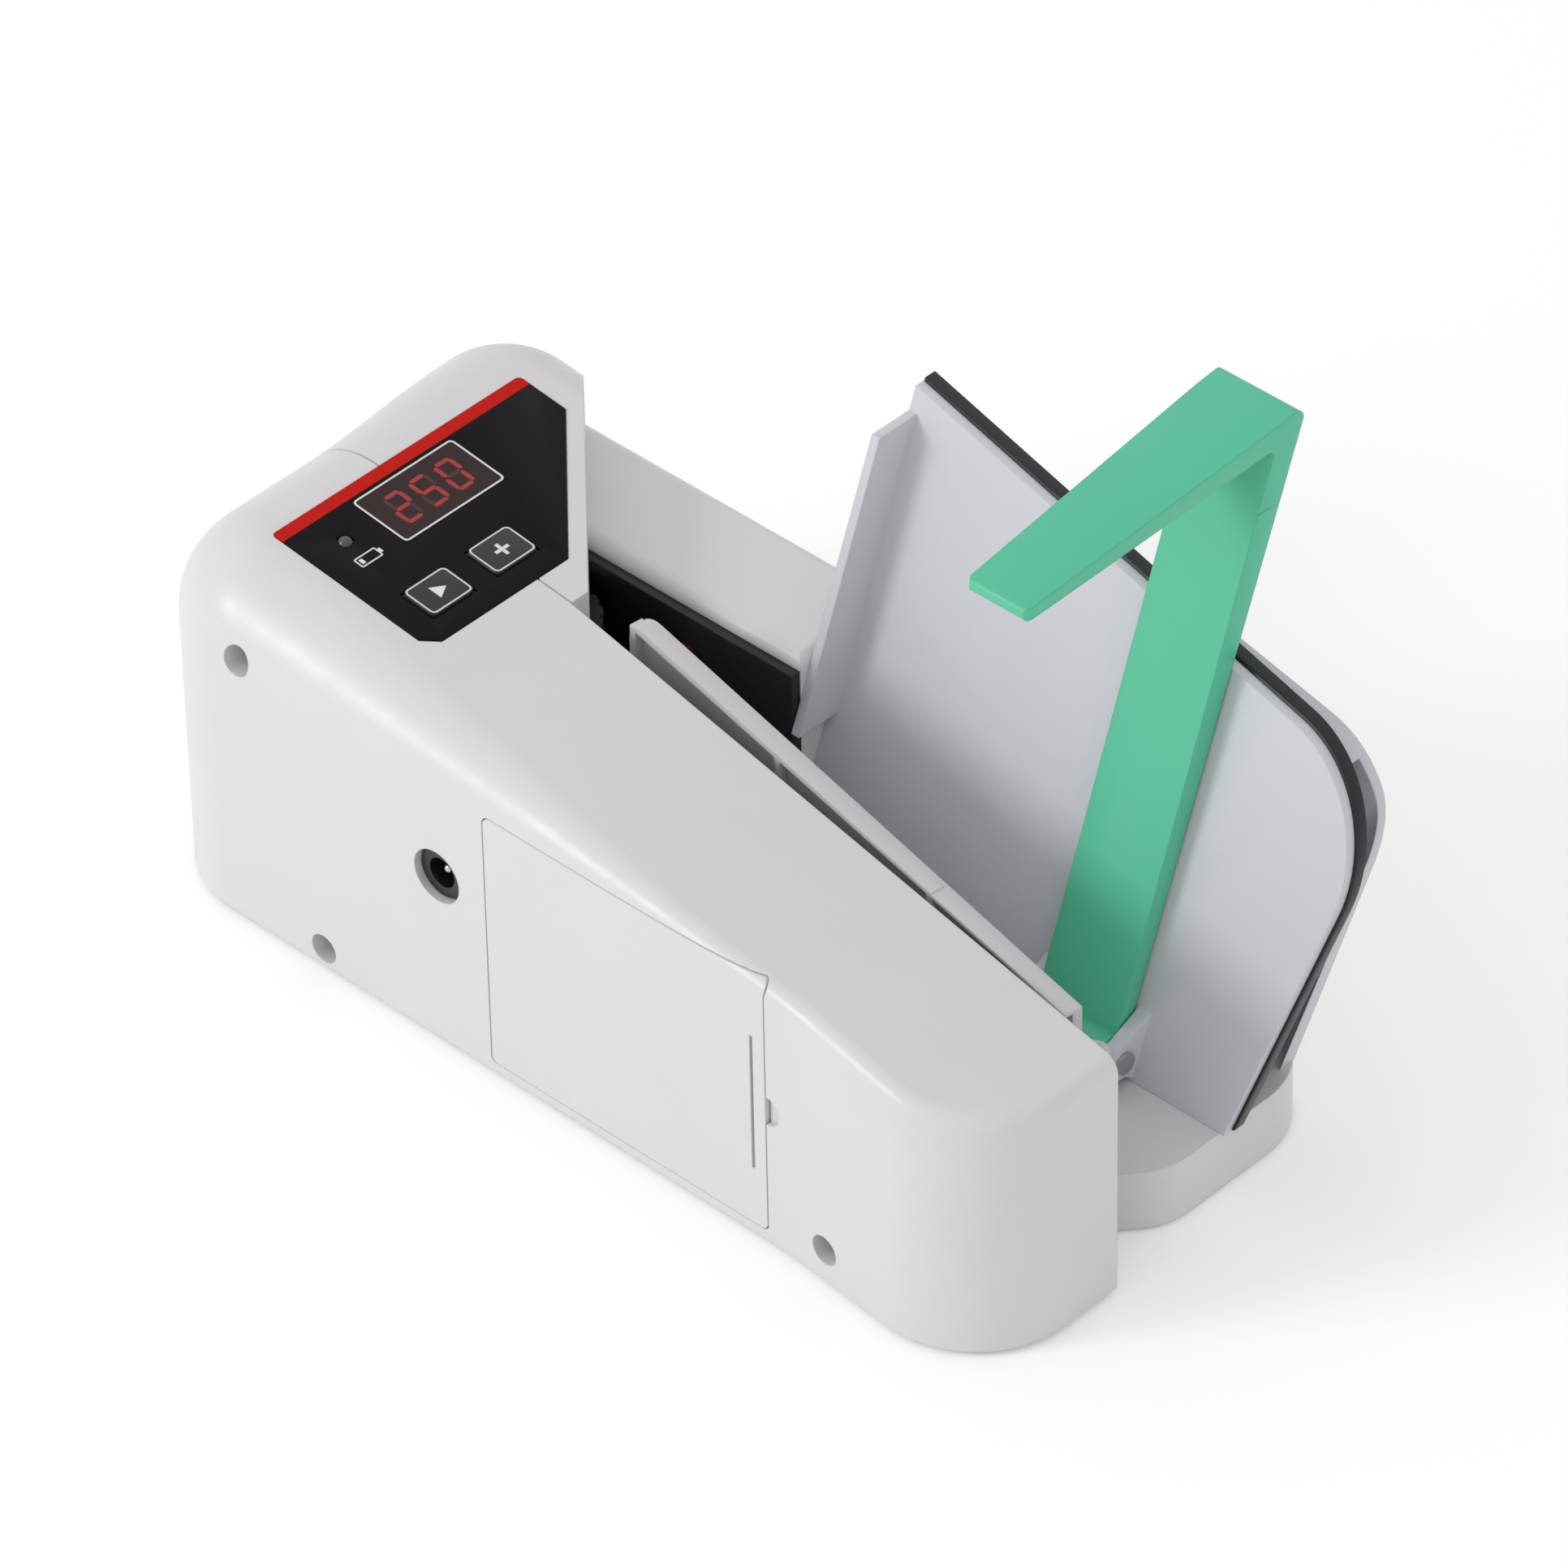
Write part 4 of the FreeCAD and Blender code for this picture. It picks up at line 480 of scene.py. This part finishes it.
def flat_plate(width, length, corner, segments=6):
    """Flat plate at the origin with rounded corners."""
    deselect()
    bpy.ops.mesh.primitive_plane_add(size=1)
    piece = bpy.context.object
    piece.scale = (width, length, 1)
    bpy.ops.object.transform_apply(scale=True)
    bpy.ops.object.mode_set(mode="EDIT")
    bpy.ops.mesh.select_all(action="SELECT")
    if corner > 0:
        bpy.ops.mesh.bevel(offset=corner, offset_pct=0, segments=segments, affect="VERTICES")
    bpy.ops.object.mode_set(mode="OBJECT")
    return piece


def thicken(piece, height):
    """Raise a flat plate into a thin closed slab."""
    choose(piece)
    solid = piece.modifiers.new("raise", "SOLIDIFY")
    solid.thickness = height
    solid.offset = 1
    bpy.ops.object.modifier_apply(modifier=solid.name)
    return piece


def outline_ring(width, length, corner, line):
    """Rounded outline of even width."""
    piece = flat_plate(width, length, corner)
    bpy.ops.object.mode_set(mode="EDIT")
    bpy.ops.mesh.select_all(action="SELECT")
    bpy.ops.mesh.inset(thickness=line, use_even_offset=True)
    bpy.ops.mesh.delete(type="FACE")
    bpy.ops.object.mode_set(mode="OBJECT")
    return piece


def place_on(piece, matrix, u=0.0, v=0.0, w=0.0, turn=0.0):
    """Lay a flat piece on a panel face."""
    piece.matrix_world = matrix @ Matrix.Translation((u, v, w)) @ Matrix.Rotation(turn, 4, "Z")


# Operators

class CounterOperator:
    """Shared access to the settings."""
    bl_options = {"REGISTER", "UNDO"}

    def settings(self, context):
        scene = context.scene
        return scene.counter_colours, scene.counter_print, scene.counter_view


class COUNTER_OT_shells(CounterOperator, bpy.types.Operator):
    """Finish the white shells, door, flap and base"""
    bl_idname = "counter.shells"
    bl_label = "White shells"

    def execute(self, context):
        colours, _, _ = self.settings(context)
        shell = moulded("shell_plastic", colours.shell, 0.33)
        inner = moulded("inner_plastic", colours.inside, 0.50)
        for node in ("front_shell", "rear_shell", "base_cover"):
            smooth_moulding(node, shell)
        # The door's top and bottom edges fill most of their gap, so that its sides show the clearest lines.
        smooth_moulding("battery_door", shell, creep=DOOR_CREEP)
        for node in ("receiving_flap", "slot_wall"):
            smooth_moulding(node, inner, edge=FITTING_EDGE)
        return {"FINISHED"}


class COUNTER_OT_hopper(CounterOperator, bpy.types.Operator):
    """Finish the grey hopper, its dark trim and the feed bay"""
    bl_idname = "counter.hopper"
    bl_label = "Hopper and trim"

    def execute(self, context):
        colours, _, _ = self.settings(context)
        grey = moulded("hopper_plastic", colours.hopper, 0.38, grain=0.08)
        dark = moulded("trim_plastic", colours.trim, 0.34, grain=0.10)
        for node in ("hopper_shell", "hopper_back"):
            smooth_moulding(node, grey, edge=HOPPER_EDGE)
        # The rim's trim is dark plastic. The feed bay's lining gets the same near-black finish, so the whole bay
        # looks black.
        for node in ("rim_trim", "bay_lining"):
            smooth_moulding(node, dark, edge=FITTING_EDGE)
        refinish(dark, "drive_chassis", "battery_box", "shaft_bushes", "sensor_receiver")
        smooth_moulding("dc_jack", dark)
        return {"FINISHED"}


class COUNTER_OT_lever(CounterOperator, bpy.types.Operator):
    """Finish the green press lever with softened edges"""
    bl_idname = "counter.lever"
    bl_label = "Press lever"

    def execute(self, context):
        colours, _, _ = self.settings(context)
        green = moulded("lever_plastic", colours.lever, 0.36, grain=0.06, change=0.03)
        smooth_moulding("press_lever", green, edge=LEVER_EDGE)
        return {"FINISHED"}


class COUNTER_OT_panel(CounterOperator, bpy.types.Operator):
    """Finish the dark panel, its red band, window and lamp"""
    bl_idname = "counter.panel"
    bl_label = "Control panel"

    def execute(self, context):
        colours, _, _ = self.settings(context)
        film = glossy("panel_film", colours.panel, 0.24, coat=0.0, shine=0.08)
        smooth_moulding("control_panel", film, edge=PANEL_EDGE)
        cap = moulded("key_cap", colours.key, 0.36, grain=0.05)
        for node in ("start_key", "add_key"):
            smooth_moulding(node, cap, edge=FITTING_EDGE)
        band = glossy("stripe_film", colours.stripe, 0.26, coat=0.0, shine=0.08)
        smooth_moulding("red_stripe", band)
        window = glossy("window_tint", colours.lens, 0.09, coat=0.0, shine=0.3)
        smooth_moulding("display_window", window)
        smooth_moulding("battery_lamp", glossy("lamp_lens", LAMP_GREY, 0.12))
        refinish(glossy("sensor_lens", SENSOR_RED, 0.1), "sensor_emitter")
        return {"FINISHED"}


class COUNTER_OT_print(CounterOperator, bpy.types.Operator):
    """Print white outlines round the window and keys, and a battery beside the lamp"""
    bl_idname = "counter.print"
    bl_label = "Panel print"

    def execute(self, context):
        colours, sizes, _ = self.settings(context)
        ink = moulded("panel_ink", colours.ink, 0.4, grain=0.03)
        matrix, width, length = panel_face("display_window")
        ring = outline_ring(width, length, sizes.corner, sizes.line)
        place_on(thicken(ring, sizes.lift), matrix)
        settle(ring, "window_outline", "housing", ink)
        for node in ("start_key", "add_key"):
            matrix, width, length = panel_face(node)
            fine = sizes.line * FINE_LINE
            ring = outline_ring(width - sizes.line, length - sizes.line, sizes.corner, fine)
            place_on(thicken(ring, sizes.lift), matrix)
            settle(ring, node + "_outline", BODY_OF[node], ink)
        self.print_battery(sizes, ink)
        return {"FINISHED"}

    def print_battery(self, sizes, ink):
        """Nearly empty battery beside the lamp."""
        matrix, _, _ = panel_face("control_panel")
        u, v = panel_place("battery_lamp", matrix)
        u += BATTERY_FROM_LAMP
        high = sizes.symbol * BATTERY_HEIGHT
        wide = sizes.symbol * BATTERY_WIDTH
        corner = sizes.line * BAR_CORNER
        case = outline_ring(high, wide, sizes.line, sizes.line * FINE_LINE)
        place_on(thicken(case, sizes.lift), matrix, u, v)
        cap_width = sizes.line * BATTERY_CAP_LINES
        cap = flat_plate(high * BATTERY_CAP_HEIGHT, cap_width, corner, BAR_CORNER_STEPS)
        place_on(thicken(cap, sizes.lift), matrix, u, v + wide / 2 + cap_width / 2)
        level = flat_plate(high * BATTERY_LEVEL_HEIGHT, wide * BATTERY_LEVEL_WIDTH, corner, BAR_CORNER_STEPS)
        place_on(thicken(level, sizes.lift), matrix, u, v - wide * BATTERY_LEVEL_PLACE)
        settle(join([case, cap, level]), "battery_symbol", "housing", ink)


class COUNTER_OT_symbols(CounterOperator, bpy.types.Operator):
    """Print a start arrow on one key and a plus on the other"""
    bl_idname = "counter.symbols"
    bl_label = "Key symbols"

    def execute(self, context):
        _, sizes, _ = self.settings(context)
        ink = bpy.data.materials["panel_ink"]
        self.print_arrow(sizes, ink)
        self.print_plus(sizes, ink)
        return {"FINISHED"}

    def print_arrow(self, sizes, ink):
        """Start arrow with softened corners."""
        deselect()
        bpy.ops.mesh.primitive_circle_add(vertices=3, radius=sizes.symbol * ARROW_RADIUS, fill_type="NGON")
        arrow = bpy.context.object
        bpy.ops.object.mode_set(mode="EDIT")
        bpy.ops.mesh.select_all(action="SELECT")
        bpy.ops.mesh.bevel(offset=sizes.line * ARROW_CORNER, offset_pct=0, segments=BAR_CORNER_STEPS,
                           affect="VERTICES")
        bpy.ops.object.mode_set(mode="OBJECT")
        matrix, _, _ = panel_face("start_key")
        place_on(thicken(arrow, sizes.lift), matrix)
        settle(arrow, "start_symbol", BODY_OF["start_key"], ink)

    def print_plus(self, sizes, ink):
        """Plus sign of two crossed bars."""
        matrix, _, _ = panel_face("add_key")
        narrow = sizes.symbol * PLUS_BAR
        bars = []
        for size in ((sizes.symbol, narrow), (narrow, sizes.symbol)):
            bar = flat_plate(*size, sizes.line * BAR_CORNER, BAR_CORNER_STEPS)
            place_on(thicken(bar, sizes.lift), matrix, w=sizes.lift * PLUS_STEP * len(bars))
            bars.append(bar)
        settle(join(bars), "add_symbol", BODY_OF["add_key"], ink)


# Segments of a digit as (u, v, upright) in half digit heights and widths, in the usual order a to g.
SEGMENT_PLACES = ((0, 1, False), (1, 0.5, True), (1, -0.5, True), (0, -1, False), (-1, -0.5, True),
                  (-1, 0.5, True), (0, 0, False))
LIT_SEGMENTS = {"0": "abcdef", "1": "bc", "2": "abdeg", "3": "abcdg", "4": "bcfg",
                "5": "acdfg", "6": "acdefg", "7": "abc", "8": "abcdefg", "9": "abcdfg"}
DIGIT_SLANT = math.radians(8)
DIGIT_GLOW = 0.22

# Unlit segments' share of the lit colour, a digit's half width in half heights, the gap between segments
# and the cut of their corners in segment widths.
UNLIT_SHARE = 0.18
DIGIT_WIDTH = 0.5
SEGMENT_GAP = 0.25
SEGMENT_CORNER = 0.42


class COUNTER_OT_digits(CounterOperator, bpy.types.Operator):
    """Light the display's digits, each built from bevelled segments"""
    bl_idname = "counter.digits"
    bl_label = "Display digits"

    def execute(self, context):
        colours, sizes, _ = self.settings(context)
        lit = glowing("digit_light", colours.digit, DIGIT_GLOW)
        dim = glossy("digit_dark", [c * UNLIT_SHARE for c in colours.digit], 0.2)
        matrix, _, _ = panel_face("display_window")
        half = sizes.digit_height / 2 - sizes.segment / 2
        side = half * DIGIT_WIDTH
        shown = []
        unlit = []
        for place, figure in enumerate(sizes.reading):
            middle = (place - (len(sizes.reading) - 1) / 2) * sizes.digit_pitch
            for letter, (u, v, upright) in zip("abcdefg", SEGMENT_PLACES):
                run = (half if upright else 2 * side) - sizes.segment * SEGMENT_GAP
                bar = flat_plate(run, sizes.segment, sizes.segment * SEGMENT_CORNER, 1)
                # Digits read along the panel's depth, so their upright direction runs towards the left end.
                across = middle + u * side + math.tan(DIGIT_SLANT) * v * half
                turn = 0 if upright else math.pi / 2
                place_on(thicken(bar, sizes.lift), matrix, u=-v * half, v=across, turn=turn)
                (shown if letter in LIT_SEGMENTS[figure] else unlit).append(bar)
        settle(join(shown), "lit_segments", "housing", lit)
        settle(join(unlit), "dark_segments", "housing", dim)
        return {"FINISHED"}


class COUNTER_OT_mechanism(CounterOperator, bpy.types.Operator):
    """Finish the roller, gears, boards, motor and fasteners"""
    bl_idname = "counter.mechanism"
    bl_label = "Mechanism"

    def execute(self, context):
        refinish(metal("turned_steel", STEEL, 0.32), "roller_shaft", "motor_shaft", "idler_axle", "flap_pin",
                 "lever_pin", "motor_plate", "board_screws", "cover_screws", "motor_screws")
        refinish(metal("screw_zinc", ZINC, 0.4), "housing_screws")
        refinish(metal("motor_can", MOTOR_CAN, 0.42), "feed_motor")
        refinish(metal("contact_nickel", NICKEL, 0.28), "battery_contacts", "battery_springs", "jack_contact")
        refinish(moulded("gear_plastic", GEAR_CREAM, 0.42), "motor_pinion", "idler_gear", "roller_gear",
                 "roller_hub")
        refinish(circuit_board("solder_mask"), "main_board", "jack_board")
        refinish(moulded("component_black", COMPONENT_BLACK, 0.5), "display_module", "key_switches")
        dark = rubber("feed_rubber", RUBBER_BLACK)
        smooth_moulding("feed_tyres", dark)
        smooth_moulding("rubber_feet", dark)
        return {"FINISHED"}


class COUNTER_OT_stage(CounterOperator, bpy.types.Operator):
    """Set up the floor, light and camera"""
    bl_idname = "counter.stage"
    bl_label = "Studio stage"

    def execute(self, context):
        colours, _, view = self.settings(context)
        context.scene.view_settings.view_transform = "Standard"
        self.add_floor(colours, view)
        self.add_light(context, view)
        self.add_camera(context, view)
        return {"FINISHED"}

    def add_floor(self, colours, view):
        """Wide pale floor."""
        deselect()
        bpy.ops.mesh.primitive_plane_add(size=FLOOR_SIZE)
        floor = bpy.context.object
        floor.name = "studio_floor"
        floor.data.materials.append(floor_paper(colours.floor, view.floor_glow))

    def add_light(self, context, view):
        """Even light from all round and a key lamp at the front left."""
        world = bpy.data.worlds.new("studio_light")
        world.use_nodes = True
        sky = world.node_tree.nodes["Background"]
        sky.inputs["Color"].default_value = WHITE
        sky.inputs["Strength"].default_value = view.fill
        context.scene.world = world
        deselect()
        bpy.ops.object.light_add(type="AREA", location=KEY_PLACE)
        lamp = bpy.context.object
        lamp.name = "key_lamp"
        lamp.data.energy = view.key
        lamp.data.size = KEY_SIZE
        lamp.rotation_euler = (-Vector(KEY_PLACE)).to_track_quat("-Z", "Y").to_euler()

    def add_camera(self, context, view):
        """Long lens at the counter's front corner, looking down on it."""
        level = math.cos(view.elevation)
        back = Vector((math.sin(view.azimuth) * level, -math.cos(view.azimuth) * level,
                       math.sin(view.elevation)))
        right = Vector((math.cos(view.azimuth), math.sin(view.azimuth), 0))
        up = back.cross(right)
        turned_right = right * math.cos(view.roll) + up * math.sin(view.roll)
        turned_up = up * math.cos(view.roll) - right * math.sin(view.roll)
        anchor = Vector((CAD_BOX[0].x + ANCHOR_FROM_END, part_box("battery_door")[0].y, 0))
        aside, above = ANCHOR_IN_PICTURE
        ray = (turned_right * aside + turned_up * above) / view.focal - back
        data = bpy.data.cameras.new("studio_camera")
        data.sensor_width = view.sensor / MM
        data.lens = view.focal * view.sensor / MM
        data.clip_end = CAMERA_REACH
        camera = bpy.data.objects.new("studio_camera", data)
        context.scene.collection.objects.link(camera)
        turned = Matrix((turned_right, turned_up, back)).transposed().to_4x4()
        camera.matrix_world = Matrix.Translation(anchor - ray * view.distance) @ turned
        context.scene.camera = camera


OPERATORS = (COUNTER_OT_shells, COUNTER_OT_hopper, COUNTER_OT_lever, COUNTER_OT_panel, COUNTER_OT_print,
             COUNTER_OT_symbols, COUNTER_OT_digits, COUNTER_OT_mechanism, COUNTER_OT_stage)


class COUNTER_PT_sidebar(bpy.types.Panel):
    """Lists the counter's settings and operators"""
    bl_idname = "COUNTER_PT_sidebar"
    bl_label = "Banknote counter"
    bl_space_type = "VIEW_3D"
    bl_region_type = "UI"
    bl_category = "Counter"

    def draw(self, context):
        scene = context.scene
        for group in (scene.counter_colours, scene.counter_print, scene.counter_view):
            for name in group.__annotations__:
                self.layout.prop(group, name)
        for operator in OPERATORS:
            self.layout.operator(operator.bl_idname)


CLASSES = (CounterColours, CounterPrint, CounterView, *OPERATORS, COUNTER_PT_sidebar)


def register():
    """Add the settings, operators and sidebar."""
    for cls in CLASSES:
        bpy.utils.register_class(cls)
    bpy.types.Scene.counter_colours = bpy.props.PointerProperty(type=CounterColours)
    bpy.types.Scene.counter_print = bpy.props.PointerProperty(type=CounterPrint)
    bpy.types.Scene.counter_view = bpy.props.PointerProperty(type=CounterView)


def unregister():
    """Take them away again."""
    del bpy.types.Scene.counter_view
    del bpy.types.Scene.counter_print
    del bpy.types.Scene.counter_colours
    for cls in reversed(CLASSES):
        bpy.utils.unregister_class(cls)


def main():
    """Dress the counter and set the stage."""
    register()
    bpy.ops.counter.shells()
    bpy.ops.counter.hopper()
    bpy.ops.counter.lever()
    bpy.ops.counter.panel()
    bpy.ops.counter.print()
    bpy.ops.counter.symbols()
    bpy.ops.counter.digits()
    bpy.ops.counter.mechanism()
    bpy.ops.counter.stage()


if __name__ == "__main__":
    main()
